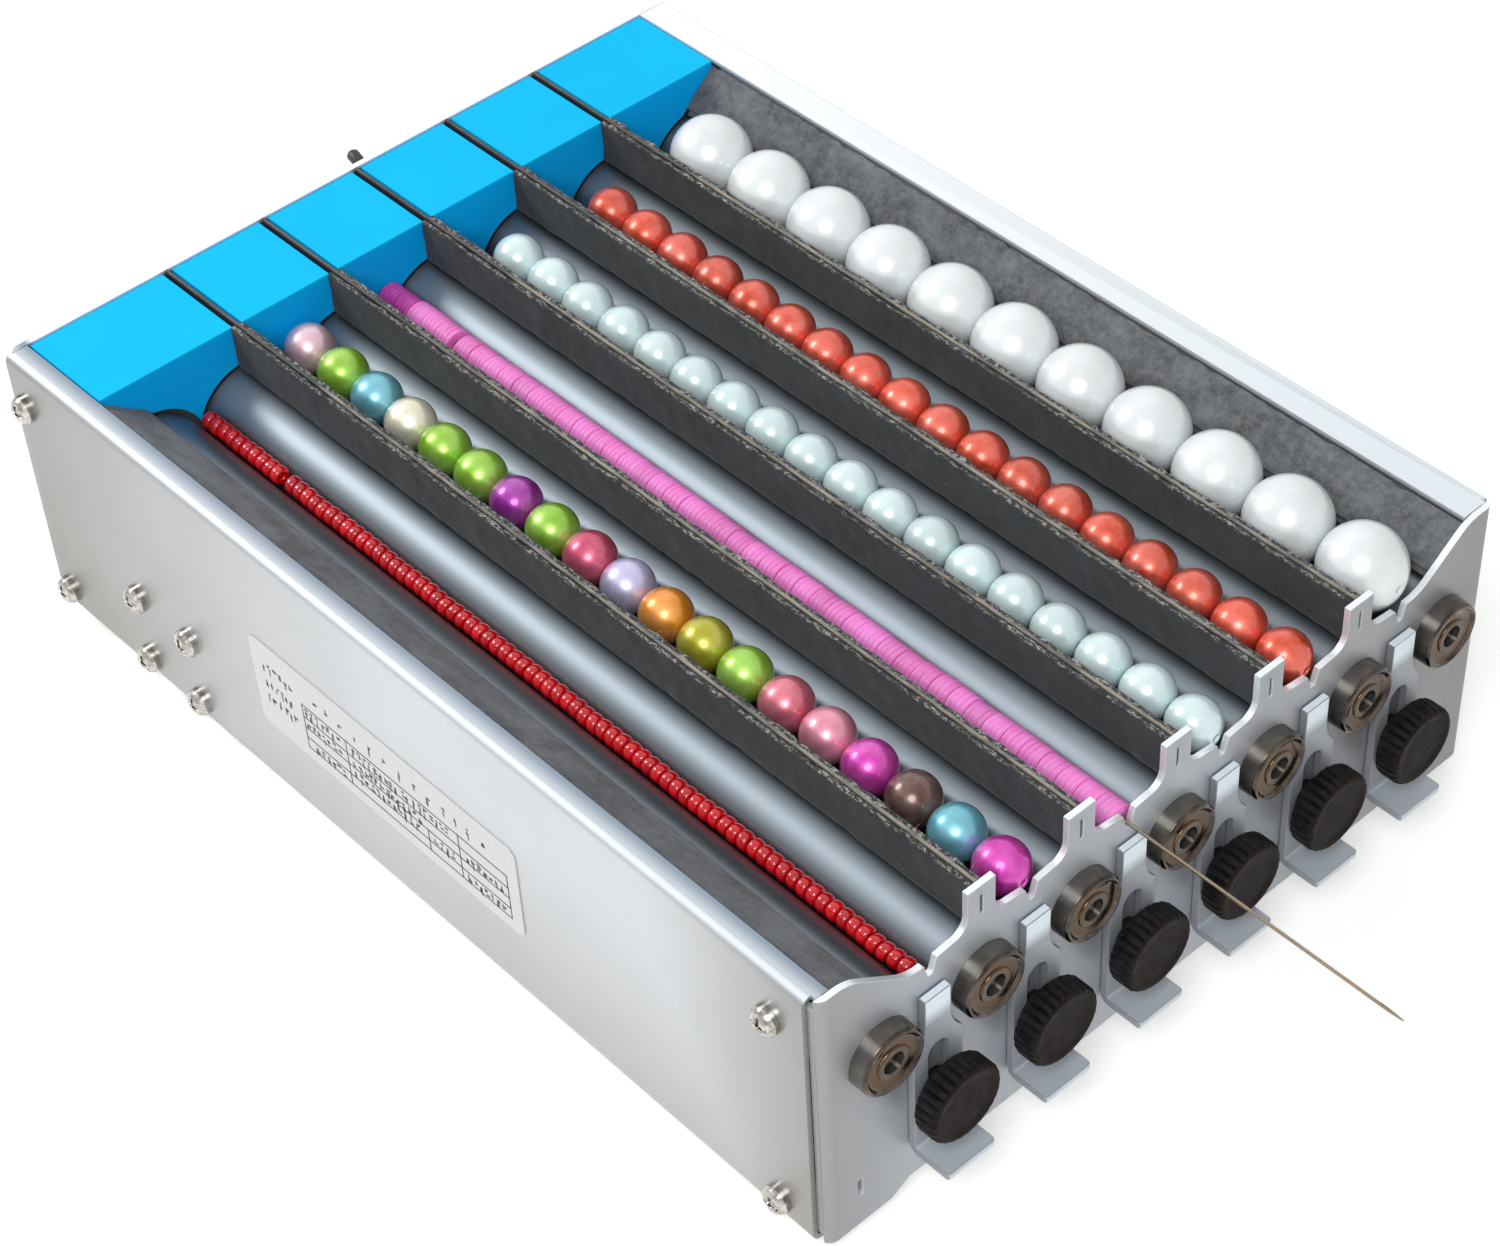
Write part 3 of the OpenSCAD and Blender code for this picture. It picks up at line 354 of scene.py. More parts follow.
def grained(name, metallic, roughness, low, high, scale, detail=3.0, fine=0.5, stretch=(1, 1, 1),
            blend=(0.0, 1.0, 1.0), depth=0.0):
    """A finish whose grain blends two colours; None for the first is the mesh's own tint. The roughness
    is a number, or (grain from, to, roughness from, to). The blend is (grain from, to, most), and depth
    is the relief in mm."""
    varies = isinstance(roughness, tuple)
    material, tree, shader = finish(name, metallic, None if varies else roughness)
    look = placed(tree, grain, {
        "Scale": scale, "Detail": detail, "Fine": fine, "From": blend[0], "To": blend[1], "Most": blend[2],
        "Low": own_tint(tree) if low is None else low, "High": high,
    }, stretch)
    give(tree, shader.inputs["Base Color"], look["Colour"])
    if varies:
        give(tree, shader.inputs["Roughness"], span(tree, look["Grain"], *roughness))
    if depth:
        relief(tree, shader, look["Grain"], depth)
    return material, tree, shader


nickel = grained(
    "nickel plated steel", 1.0, (0.3, 0.8, 0.10, 0.24), (0.30, 0.27, 0.235), (0.62, 0.60, 0.57), 900,
    blend=(0.35, 0.7, 1.0),
)[0]
eased("case_screws", 0.0, nickel)
eased("gate_nuts", 0.1, nickel)


# Rollers and their shafts.
# Seven aluminium tubes with a satin turned skin, pressed on hubs on 4 mm ground steel shafts.
# Behind the rear bearings each shaft carries a turned pulley with two belt grooves.

def lathe_marks(tree, shader, amount):
    """Fine turning marks round Y: they spread each highlight along the axis."""
    along = tree.nodes.new("ShaderNodeCombineXYZ")
    along.inputs["Y"].default_value = 1.0
    tree.links.new(along.outputs[0], shader.inputs["Tangent"])
    shader.inputs["Anisotropic"].default_value = amount


turned, tree, shader = grained(
    "satin turned aluminium", 0.92, (0.2, 0.8, 0.38, 0.48), (0.155, 0.182, 0.206), (0.24, 0.27, 0.292), 60,
    stretch=(1, 0.25, 1),
)
lathe_marks(tree, shader, 0.55)
relief(tree, shader, noise(tree, place(tree, (0.02, 1, 0.02)), 2600, 3.0), 0.004)
ground = grained(
    "ground steel", 1.0, (0.3, 0.7, 0.18, 0.32), (0.42, 0.41, 0.40), (0.60, 0.59, 0.58), 5200, 2.0,
    stretch=(0.03, 1, 0.03), depth=0.003,
)[0]
# The front ends of the shafts, in the middle of the front bearings, are near black.
near_black_end = grained("near-black shaft end", 1.0, 0.2, (0.035, 0.03, 0.026), (0.10, 0.08, 0.06), 900)[0]
near_black_from_y = -78 * mm
for i in range(1, 8):
    eased(f"roller_{i}", 0.15, turned)
    eased(
        f"shaft_{i}", 0.1, ground, edge=near_black_end,
        is_edge=lambda middle, normal: middle.y < near_black_from_y,
    )


# Ball bearings.
# Fourteen shielded bearings of 4 x 13 x 5 mm in polished chrome steel, pressed into the front plate and the
# bearing plate. The front ones stand 3.5 mm out and show their rings; their dark brown tint and the brown on
# their shields are a painted reflection.

roller_pitch = 22 * mm
roller_axis_z = 42.2 * mm
# The chrome's dark brown tint is a painted reflection.
chrome, tree, shader = grained(
    "bearing chrome steel", 1.0, (0.3, 0.7, 0.08, 0.16), (0.045, 0.036, 0.03), (0.13, 0.105, 0.085), 260,
    fine=0.6, blend=(0.35, 0.7, 1.0),
)
# How far a point is from the axis of its own bearing; the brown on the shield between the rings is a painted
# reflection.
wrapped = tree.nodes.new("ShaderNodeMath")
wrapped.operation = "WRAP"
for socket, value in zip(wrapped.inputs, (axis(tree, "X"), roller_pitch / 2, -roller_pitch / 2)):
    give(tree, socket, value)
sideways = wrapped.outputs[0]
rise = calc(tree, "SUBTRACT", axis(tree, "Z"), roller_axis_z)
squares = calc(tree, "ADD", times(tree, sideways, sideways), times(tree, rise, rise))
radius = calc(tree, "SQRT", squares, 0.0)
shield_from, shield_to = 3 * mm, 4.9 * mm
past_ring = span(tree, radius, shield_from - 0.4 * mm, shield_from + 0.4 * mm)
within_ring = span(tree, radius, shield_to + 0.3 * mm, shield_to - 0.3 * mm)
shield = times(tree, past_ring, within_ring)
steel = source_of(shader, "Base Color")
give(tree, shader.inputs["Base Color"], tint(tree, shield, steel, (0.088, 0.048, 0.023)))
ring_side, tree, shader = grained(
    "ground side of a bearing ring", 1.0, 0.3, (0.08, 0.072, 0.065), (0.24, 0.222, 0.20), 320, fine=0.6,
)
lathe_marks(tree, shader, 1.0)
fronts = eased(
    "front_bearings", 0.42, chrome, edge=ring_side,
    is_edge=lambda middle, normal: abs(normal.y) < 0.5,
)
fronts.modifiers["eased edges"].material = 0
eased("rear_bearings", 0.18, chrome)


# Drive: motor, bracket, pulley and belts.
# A round gearmotor sits on a zinc plated angle bracket that four screws hold to the left side plate.
# Seven round-edged rubber belts join its pulley and the rollers.

can = grained(
    "motor can steel", 1.0, (0.3, 0.7, 0.24, 0.4), (0.36, 0.36, 0.35), (0.52, 0.52, 0.51), 1800,
    stretch=(1, 0.05, 1),
)[0]
zinc, tree, shader = finish("zinc plated sheet", 0.95, 0.34)
spangle = tree.nodes.new("ShaderNodeTexVoronoi")
spangle.inputs["Scale"].default_value = 260
tree.links.new(place(tree), spangle.inputs["Vector"])
spangled = tint(tree, spangle.outputs["Distance"], (0.50, 0.52, 0.54), (0.72, 0.73, 0.70))
give(tree, shader.inputs["Base Color"], spangled)
rubber = grained(
    "black belt rubber", 0.0, 0.7, (0.012, 0.012, 0.012), (0.035, 0.034, 0.033), 3000, 2.0, depth=0.02,
)[0]
eased("motor", 0.25, can)
eased("motor_pulley", 0.1, ground)
eased("motor_bracket", 0.15, zinc)
eased("drive_belts", 0.15, rubber)


# Speed board, power jack, toggle switch and feet.
# The board stands on four spacers on the base plate; jack and switch are fixed in the rear plate.
# Four turned rubber feet are screwed under the base plate.

board = grained("green circuit board", 0.0, 0.35, (0.010, 0.085, 0.03), (0.03, 0.18, 0.07), 900)[0]
black = grained(
    "moulded black plastic", 0.0, 0.42, (0.012, 0.012, 0.013), (0.032, 0.032, 0.034), 2400, 2.0, depth=0.015,
)[0]
eased("circuit_board", 0.1, board)
eased("power_jack", 0.15, black)
eased("power_switch", 0.1, nickel)
eased("switch_lever", 0.0, black)
eased("feet", 0.3, rubber)


# Lane dividers and guide walls.
# Sheet dividers stand over the five inner rollers, each with a tenon in the front plate's slit, and two
# sloping walls guide the outer lanes. Black wool felt is glued to them, and its cut top edge has frayed.

def islands(node):
    """The loose solids of a CAD node, each as an array of its corners, ordered by their middles."""
    shape = merged(nodes[node].data)
    left, found = set(shape.verts), []
    while left:
        group, fringe = [], [left.pop()]
        while fringe:
            vert = fringe.pop()
            group.append(vert.co[:])
            for link in vert.link_edges:
                other = link.other_vert(vert)
                if other in left:
                    left.remove(other)
                    fringe.append(other)
        found.append(np.array(group))
    shape.free()
    return sorted(found, key=lambda points: tuple(np.round((points.min(0) + points.max(0)) / 2, 6)))


def skin(name, grids, wrap_u, wrap_v, tints=None, caps=False):
    """Joins k grids of points (k, nu, nv, 3), in metres, into one mesh of quads that point outwards. caps
    closes the first and the last loop of v with one face each. tints gives each grid its own colour."""
    k, nu, nv, _ = grids.shape
    iu = np.arange(nu if wrap_u else nu - 1)
    iv = np.arange(nv if wrap_v else nv - 1)
    a, b = np.meshgrid(iu, iv, indexing="ij")
    a2, b2 = (a + 1) % nu, (b + 1) % nv
    quad = np.stack([a * nv + b, a2 * nv + b, a2 * nv + b2, a * nv + b2], -1).reshape(-1, 4)
    corners = (grids[0] - grids[0].mean((0, 1))).reshape(-1, 3)[quad]
    first, second = np.cross(corners[:, 1], corners[:, 2]), np.cross(corners[:, 2], corners[:, 3])
    flip = np.einsum("ij,ij->", corners[:, 0], first + second) < 0
    if flip:
        quad = quad[:, ::-1]
    start = (np.arange(k) * nu * nv)[:, None, None]
    loops = [(quad[None] + start).ravel()]
    sizes = [np.full(k * len(quad), 4)]
    if caps:
        ends = np.stack([np.arange(nv), (nu - 1) * nv + np.arange(nv)[::-1]])
        loops.append((ends[:, ::-1 if flip else 1][None] + start).ravel())
        sizes.append(np.full(2 * k, nv))
    loops, sizes = np.concatenate(loops), np.concatenate(sizes)
    points = grids.reshape(-1, 3)
    mesh = bpy.data.meshes.new(name)
    mesh.vertices.add(len(points))
    mesh.vertices.foreach_set("co", points.astype(np.float32).ravel())
    mesh.loops.add(len(loops))
    mesh.loops.foreach_set("vertex_index", loops.astype(np.int32))
    mesh.polygons.add(len(sizes))
    mesh.polygons.foreach_set("loop_start", (np.cumsum(sizes) - sizes).astype(np.int32))
    mesh.update(calc_edges=True)
    mesh.shade_smooth()
    if caps:
        mesh.set_sharp_from_angle(angle=math.radians(50))
    if tints is not None:
        colour = mesh.color_attributes.new("own tint", "FLOAT_COLOR", "POINT")
        full = np.ones((k, nu * nv, 4))
        full[..., :3] = np.asarray(tints)[:, None, :]
        colour.data.foreach_set("color", full.astype(np.float32).ravel())
    piece = bpy.data.objects.new(name, mesh)
    bpy.context.scene.collection.objects.link(piece)
    return piece


def rough_field(rng, shape, passes):
    """White noise averaged over its neighbours so many times, wrapped at the ends, with a spread of 1."""
    field = rng.standard_normal(shape)
    for _ in range(passes):
        for way in range(field.ndim):
            field = (np.roll(field, 1, way) + 2 * field + np.roll(field, -1, way)) / 4
    return field / field.std()


worn_until = 84 * mm
sheet, tree, shader = finish("worn divider sheet", 0.4, 0.45)
scuffed = span(tree, noise(tree, place(tree, (1, 0.25, 1)), 420, 5.0, 0.75), 0.40, 0.58, 0.35, 1.0)
near_top = span(tree, axis(tree, "Z"), case_top - 0.8 * mm, case_top - 0.2 * mm)
wear_and_painted_shade = span(tree, axis(tree, "Y"), worn_until, worn_until - 4 * mm, 0.25, 1)
bare = times(tree, scuffed, times(tree, near_top, wear_and_painted_shade))
give(tree, shader.inputs["Base Color"], tint(tree, bare, (0.030, 0.033, 0.039), (0.31, 0.28, 0.235)))
eased("dividers", 0.06, sheet)
eased("guide_walls", 0.08, sheet)

# Wool felt: dark fibres, paler matted patches, a few light wool ends, and pale broken fibres in its top 1 mm.
felted, given, made = effect(
    "wool felt",
    {"Vector": "Vector", "Deep": "Color", "Fibre": "Color", "Matted": "Color", "Mottle": "Float",
     "Frayed": "Float"},
    {"Colour": "Color", "Height": "Float"},
)
fibre = noise(felted, stretched(felted, given["Vector"], (1, 0.35, 1)), 1500, 5.0, 0.65)
patches = noise(felted, stretched(felted, given["Vector"], (1, 0.5, 1)), 130, 5.0, 0.7)
strays = noise(felted, stretched(felted, given["Vector"], (1, 0.3, 1)), 620, 5.0, 0.75)
lint = span(felted, strays, 0.67, 0.74)
dark = tint(felted, fibre, given["Deep"], given["Fibre"])
worn = tint(felted, span(felted, patches, 0.4, 0.68, 0, given["Mottle"]), dark, given["Matted"])
linted = tint(felted, times(felted, lint, 0.5), worn, (0.24, 0.235, 0.22))
near_top = span(felted, axis(felted, "Z", given["Vector"]), case_top - 1.1 * mm, case_top - 0.1 * mm)
ragged = noise(felted, stretched(felted, given["Vector"], (1, 0.45, 1)), 2100, 5.0, 0.8)
broken = span(felted, calc(felted, "ADD", ragged, times(felted, near_top, 0.15)), 0.64, 0.72)
flecks = times(felted, times(felted, broken, near_top), given["Frayed"])
give(felted, made["Colour"], tint(felted, flecks, linted, (0.42, 0.41, 0.38)))
give(felted, made["Height"], fibre)


def wool(name, shade, mottle, frayed):
    """Black wool felt: shade scales its colours, mottle is how much its matted patches show, and frayed
    is how much of its top edge shows pale broken fibres and glue."""
    material, tree, shader = finish(name, 0.0, 0.9)
    deep, single, matted = (
        tuple(shade * share for share in colour)
        for colour in ((0.014, 0.0155, 0.018), (0.046, 0.050, 0.056), (0.080, 0.087, 0.096))
    )
    look = placed(tree, felted, {"Deep": deep, "Fibre": single, "Matted": matted, "Mottle": mottle,
                                 "Frayed": frayed})
    give(tree, shader.inputs["Base Color"], look["Colour"])
    relief(tree, shader, look["Height"], 0.12)
    shader.inputs["Specular IOR Level"].default_value = 0.25
    shader.inputs["Sheen Weight"].default_value = 0.1
    shader.inputs["Sheen Roughness"].default_value = 0.6
    return material, tree, shader


def felt_strips(node, felt, seed):
    """The felts of a CAD node with a skin of their own: each strip's outline, walked at 28 points, is
    swept along the lane in steps of 0.8 mm. Each point moves along the outline's normal by 0.05 mm times
    a rough field, less 0.04 mm, and towards the cut top edge also by 0.11 mm times a second field, less
    0.06 mm."""
    count, step, cut_band = 28, 0.8 * mm, 0.9 * mm
    rng = np.random.default_rng(seed)
    grids = []
    for points in islands(node):
        near, far = points[:, 1].min(), points[:, 1].max()
        ring = points[points[:, 1] < near + 0.1 * mm][:, [0, 2]]
        middle = ring.mean(0)
        ring = ring[np.argsort(np.arctan2(ring[:, 1] - middle[1], ring[:, 0] - middle[0]))]
        closed = np.vstack([ring, ring[:1]])
        reach = np.concatenate([[0], np.cumsum(np.linalg.norm(np.diff(closed, axis=0), axis=1))])
        walk = (np.arange(count) + 0.5) / count * reach[-1]
        loop = np.stack([np.interp(walk, reach, closed[:, side]) for side in (0, 1)], 1)
        along = np.roll(loop, -1, 0) - np.roll(loop, 1, 0)
        normal = np.stack([along[:, 1], -along[:, 0]], 1) / np.linalg.norm(along, axis=1)[:, None]
        rows = round((far - near) / step)
        cut = np.clip((loop[:, 1] - loop[:, 1].max()) / cut_band + 1, 0, 1)
        move = 0.05 * rough_field(rng, (rows, count), 2) - 0.04
        move = move + cut * (0.11 * rough_field(rng, (rows, count), 1) - 0.06)
        grid = np.empty((rows, count, 3))
        grid[..., 0] = loop[:, 0] + normal[:, 0] * move * mm
        grid[..., 1] = np.linspace(near, far, rows)[:, None]
        grid[..., 2] = loop[:, 1] + normal[:, 1] * move * mm
        grids.append(grid)
    rows = min(len(grid) for grid in grids)
    even = [grid[np.linspace(0, len(grid) - 1, rows).round().astype(int)] for grid in grids]
    piece = skin(node + "_felted", np.stack(even), False, True, caps=True)
    fitted(piece, felt, "case", node)


felt_strips("divider_felts", wool("black wool felt", 0.62, 0.5, 0.9)[0], 21)
# Pale dust specks on the guide felts, more on the right felt than the left: the extra on the right is painted
# light.
left_dust, right_dust_and_painted_light = 0.35, 0.55
rubbed, tree, shader = wool("rubbed black wool felt", 2.0, 0.9, 0.0)
specks = span(tree, noise(tree, place(tree), 560, 6.0, 0.85), 0.42, 0.68, 0.08, 0.85)
dust_and_painted_light = times(tree, specks, span(tree, axis(tree, "X"), -5 * mm, 5 * mm, left_dust, right_dust_and_painted_light))
clean = source_of(shader, "Base Color")
give(tree, shader.inputs["Base Color"], tint(tree, dust_and_painted_light, clean, (0.30, 0.295, 0.28)))
felt_strips("guide_felts", rubbed, 22)

# Loose wool ends and glue crumbs along the top edges: bent three-sided hairs, 0.4 to 1.6 mm long.
# A hair leaves its root along its way and bends aside with the square of the distance.
hair_colours = [(0.50, 0.43, 0.29), (0.34, 0.31, 0.25), (0.12, 0.12, 0.12), (0.70, 0.68, 0.62)]
hair_count, tuft_count, tuft_share, tuft_spread = 125, 7, 0.65, 7 * mm
front_gap, rear_gap = 3 * mm, 24 * mm
rng = np.random.default_rng(23)
roots, ways, shades = [], [], []
for strip in islands("dividers"):
    (x0, y0, _), (x1, y1, z1) = strip.min(0), strip.max(0)
    tufts = rng.uniform(y0, y1 - rear_gap, tuft_count)
    for _ in range(hair_count):
        in_tuft = rng.random() < tuft_share
        y = rng.normal(rng.choice(tufts), tuft_spread) if in_tuft else rng.uniform(y0, y1 - rear_gap)
        y = min(max(y, y0 + front_gap), y1 - rear_gap)
        side = rng.choice([-1, 1], p=[0.4, 0.6])
        x = (x0 + x1) / 2 + side * abs(rng.normal(0.35, 0.35)) * mm
        roots.append((x, y, z1 - 0.12 * mm))
        ways.append((rng.normal(0, 0.7), rng.normal(0, 1.0), abs(rng.normal(0.12, 0.16))))
        shades.append(hair_colours[rng.choice(4, p=[0.36, 0.26, 0.26, 0.12])])
roots, ways = np.array(roots), np.array(ways)
ways /= np.linalg.norm(ways, axis=1)[:, None]
length = rng.uniform(0.4, 1.6, len(roots)) * mm
curl = np.cross(ways, (0, 0, 1.0)) * rng.normal(0, 0.35, len(roots))[:, None]
step = np.array([0, 0.33, 0.66, 1.0])
bent = step[:, None] * ways[:, None] + (step**2)[:, None] * curl[:, None]
spine = roots[:, None] + length[:, None, None] * bent
across = np.cross(ways, (0.13, 0.2, 1.0))
across /= np.linalg.norm(across, axis=1)[:, None]
above = np.cross(across, ways)
turn = np.arange(3) / 3 * 2 * math.pi
thick = rng.uniform(0.02, 0.055, len(roots)) * mm
taper = thick[:, None] * np.array([1, 0.9, 0.7, 0.35])
ring = np.cos(turn)[:, None] * across[:, None, None] + np.sin(turn)[:, None] * above[:, None, None]
hairs = skin("felt_hairs", spine[:, :, None] + taper[:, :, None, None] * ring, False, True, shades, caps=True)
loose = grained("loose wool ends", 0.0, 0.8, None, (0.30, 0.28, 0.24), 2500, 2.0)[0]
fitted(hairs, loose, "case")


# End blocks.
# Six moulded blocks of bright blue plastic close the lanes at the rear. Each is a slanted box with two arcs
# under it that clear the rollers, and is pushed in between two dividers.

blue, tree, shader = finish("blue moulded plastic", 0.0)
shader.inputs["Specular IOR Level"].default_value = 0.1
flow = noise(tree, place(tree), 55, 3.0)
# Painted light: the upper faces are a lighter, greener blue than the sloped and upright faces.
painted_light_on_top = span(tree, axis(tree, "Z"), case_top - 1 * mm, case_top - 0.6 * mm)
faces = tint(tree, flow, (0.0, 0.41, 0.97), (0.002, 0.47, 1.0))
painted_lighter_top = tint(tree, flow, (0.002, 0.50, 0.93), (0.006, 0.57, 0.97))
give(tree, shader.inputs["Base Color"], tint(tree, painted_light_on_top, faces, painted_lighter_top))
give(tree, shader.inputs["Roughness"], span(tree, flow, 0.3, 0.7, 0.5, 0.62))
relief(tree, shader, noise(tree, place(tree), 3800), 0.01)
for node in ("left_end_block", "middle_end_blocks", "right_end_block"):
    eased(node, 0.35, blue)


# Sliding gates.
# Six pressed gates, coated blue-grey, slide behind their thumbscrews on the front plate.
# Each ends in a finger tab bent forward. Their pale blue at the tab and at the tip of the neck is a painted
# reflection of the sky, and their sideways cut edges are darkened as painted shade.

gate_coat, tree, shader = coated("gate coat", (0.82, 0.93, 1.0), 0.12, 0.38, 0.06, 0.1)
tab_z, neck_z = 12 * mm, 45 * mm
z = axis(tree, "Z")
# Painted reflection of the sky: the coat's pale blue stays only at the tab and at the tip of the neck.
plain = times(tree, span(tree, z, tab_z, tab_z + 3 * mm), span(tree, z, neck_z, neck_z - 3 * mm))
clean = source_of(shader, "Base Color")
give(tree, shader.inputs["Base Color"], tint(tree, plain, clean, (0.36, 0.38, 0.41)))
# Painted shade: the sideways cut edges are a darker grey.
gate_edge_painted_shade = coated("gate edge with painted shade", (0.30, 0.315, 0.34), 0.3, 0.45, 0.06, 0.1)[0]
for i in range(1, 7):
    eased(
        f"gate_{i}", 0.16, gate_coat, edge=gate_edge_painted_shade,
        is_edge=lambda middle, normal: abs(normal.x) > 0.5,
    )


# Thumbscrews.
# Black moulded knobs on M4 steel threads, with 28 round ribs that run the full depth of the rim. The smooth
# face is slightly sunk and duller than the rim, and its brown tint is a painted reflection.

def ribbed_knob(node):
    """A knob turned round its own axis from a profile of (depth behind the face, radius, rib depth) in
    mm. The radius at an angle is the profile's less the rib depth times (1 - |cos(14 angle)|)^1.5, which
    gives 28 round ribs."""
    ribs, steps = 28, 10
    low, high = (np.array(corner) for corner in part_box(node))
    middle, radius, long = (low + high) / 2, (high[0] - low[0]) / 2 / mm, (high[1] - low[1]) / mm
    profile = np.array([
        (0.35, 0.6, 0), (0.35, 4.6, 0), (0.3, radius - 2.1, 0), (0.06, radius - 1.5, 0),
        (0, radius - 1.15, 0), (0.04, radius - 0.85, 0.02), (0.16, radius - 0.55, 0.14),
        (0.36, radius - 0.3, 0.34), (0.66, radius - 0.12, 0.5), (1.0, radius, 0.6), (3.9, radius, 0.6),
        (4.4, radius - 0.16, 0.5), (4.8, radius - 0.6, 0.2), (5, radius - 1.2, 0), (5, 4.2, 0),
        (6.4, 4.2, 0), (6.4, 2, 0), (long - 0.3, 2, 0), (long, 1.7, 0),
    ])
    turn = np.arange(ribs * steps) / (ribs * steps) * 2 * math.pi
    rib = (1 - np.abs(np.cos(ribs / 2 * turn))) ** 1.5
    reach = (profile[:, 1, None] - profile[:, 2, None] * rib) * mm
    grid = np.empty((1, len(profile), len(turn), 3))
    grid[0, ..., 0] = middle[0] + reach * np.cos(turn)
    grid[0, ..., 1] = low[1] + profile[:, :1] * mm
    grid[0, ..., 2] = middle[2] + reach * np.sin(turn)
    piece = skin(node + "_ribbed", grid, False, True, caps=True)
    fitted(piece, knob, nodes[node]["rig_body"], node)


knob, tree, shader = grained(
    "black knob plastic", 0.0, (0.3, 0.7, 0.3, 0.48), (0.007, 0.0072, 0.008), (0.020, 0.020, 0.021), 340, 4.0,
    fine=0.6, blend=(0.35, 0.75, 1.0),
)
shader.inputs["Specular IOR Level"].default_value = 0.12
rim, rim_gloss = source_of(shader, "Base Color"), source_of(shader, "Roughness")
face_y = -91.2 * mm
face = span(tree, axis(tree, "Y"), face_y + 1 * mm, face_y)
# The face's brown tint is a painted reflection.
painted_brown_reflection = times(tree, face, span(tree, rim.node.outputs["Grain"], 0.3, 0.7, 0.75, 1.0))
give(tree, shader.inputs["Base Color"], tint(tree, painted_brown_reflection, rim, (0.007, 0.0036, 0.002)))
give(tree, shader.inputs["Roughness"], calc(tree, "ADD", rim_gloss, times(tree, face, 0.22)))
for i in range(1, 7):
    ribbed_knob(f"thumbscrew_{i}")


# Side label.
# A white paper label with rounded corners, stuck on the left side plate.
# Only a table frame and rows of generic marks are printed on it.

paper = grained("white label paper", 0.0, 0.45, (0.58, 0.58, 0.575), (0.66, 0.66, 0.655), 1200)[0]
eased("side_label", 0.0, paper)
label_low, label_high = (np.array(corner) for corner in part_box("side_label"))
rng = np.random.default_rng(31)
ink = []


def stroke(u0, v0, u1, v1):
    """A bar of ink from (u0, v0) to (u1, v1), as shares of the label's length from its rear end and of
    its height from the top; it stands 0.02 mm proud."""
    y = label_high[1] - np.array([u0, u1]) * (label_high[1] - label_low[1])
    z = label_high[2] - np.array([v0, v1]) * (label_high[2] - label_low[2])
    x = label_low[0] + np.array([-0.02, 0.01]) * mm
    ink.append([[(x[i], y[j], z[k]) for j, k in ((0, 0), (1, 0), (1, 1), (0, 1))] for i in (0, 1)])


def row_of_marks(u, end, top, pitch=0.02):
    """Groups of two or three short bars, lying or standing by chance, from u to the end."""
    while u < end - 0.012:
        for _ in range(rng.integers(2, 4)):
            a, b = u + rng.uniform(0, 0.008), top + rng.uniform(0, 0.07)
            if rng.random() < 0.5:
                stroke(a, b, a + rng.uniform(0.007, 0.014), b + 0.022)
            else:
                stroke(a, b, a + 0.0045, b + rng.uniform(0.04, 0.085))
        u += pitch * rng.uniform(0.85, 1.2)


for v in (0.36, 0.50, 0.62, 0.74, 0.86):
    stroke(0.19, v, 0.96, v + 0.015)
for u, v in ((0.19, 0.36), (0.36, 0.36), (0.66, 0.62), (0.78, 0.36), (0.957, 0.36)):
    stroke(u, v, u + 0.004, 0.87)
for u, end, top in (
    (0.2, 0.35, 0.39), (0.38, 0.76, 0.39), (0.2, 0.35, 0.53), (0.38, 0.64, 0.53), (0.8, 0.94, 0.53),
    (0.38, 0.64, 0.65), (0.68, 0.77, 0.65), (0.8, 0.94, 0.77), (0.22, 0.34, 0.77), (0.04, 0.16, 0.22),
    (0.04, 0.16, 0.42), (0.04, 0.16, 0.58),
):
    row_of_marks(u, end, top)
row_of_marks(0.24, 0.93, 0.17, 0.052)
print_ink = grained(
    "grey label ink", 0.0, 0.5, (0.02, 0.02, 0.022), (0.09, 0.09, 0.10), 500, 4.0, fine=0.7,
    blend=(0.4, 0.7, 1.0),
)[0]
fitted(skin("label_marks", np.array(ink), False, True, caps=True), print_ink, "case")


# Beads.
# Six rows: red glass seed beads, mixed pearls, pink clay discs, mint pearls, coral pearls and large white
# pearls. Pearls are moulded beads with a pearl lacquer; each bead has a bore along its row.

def line_of(k):
    """The x and z of the line of a CAD row, its start and its end along y, and its radius."""
    low, high = (np.array(corner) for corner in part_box(f"bead_row_{k}"))
    x, _, z = (low + high) / 2
    return x, z, low[1], high[1], (high[2] - low[2]) / 2


def pearl_row(k, tints, around, along):
    """Pearls as spheres, each up to 1 percent smaller than the row's radius and up to 0.12 mm beside its
    line, with a 1 mm bore: half circles from one rim of the bore to the other, and the bore's wall,
    turned round the line."""
    bore, most_aside, most_smaller = 0.5 * mm, 0.12 * mm, 0.0105
    count = len(tints)
    x, z, near, far, radius = line_of(k)
    rng = np.random.default_rng(k)
    middles = np.linspace(near + radius, far - radius, count)[:, None, None]
    aside = (x + rng.uniform(-most_aside, most_aside, count))[:, None, None]
    size = (1 - rng.uniform(0, most_smaller, count))[:, None, None]
    start = math.asin(bore / radius)
    phi = np.linspace(start, math.pi - start, along)
    wall_end, wall = 0.93 * radius, 0.9 * bore
    y = np.concatenate([-radius * np.cos(phi), [wall_end, -wall_end]])
    reach = np.concatenate([radius * np.sin(phi), [wall, wall]])
    theta = np.arange(around)[:, None] / around * 2 * math.pi
    grid = np.empty((count, around, len(y), 3))
    grid[..., 0] = aside + size * reach * np.cos(theta)
    grid[..., 1] = middles + size * y
    grid[..., 2] = z + size * reach * np.sin(theta)
    return skin(f"pearls_{k}", grid, True, True, tints)


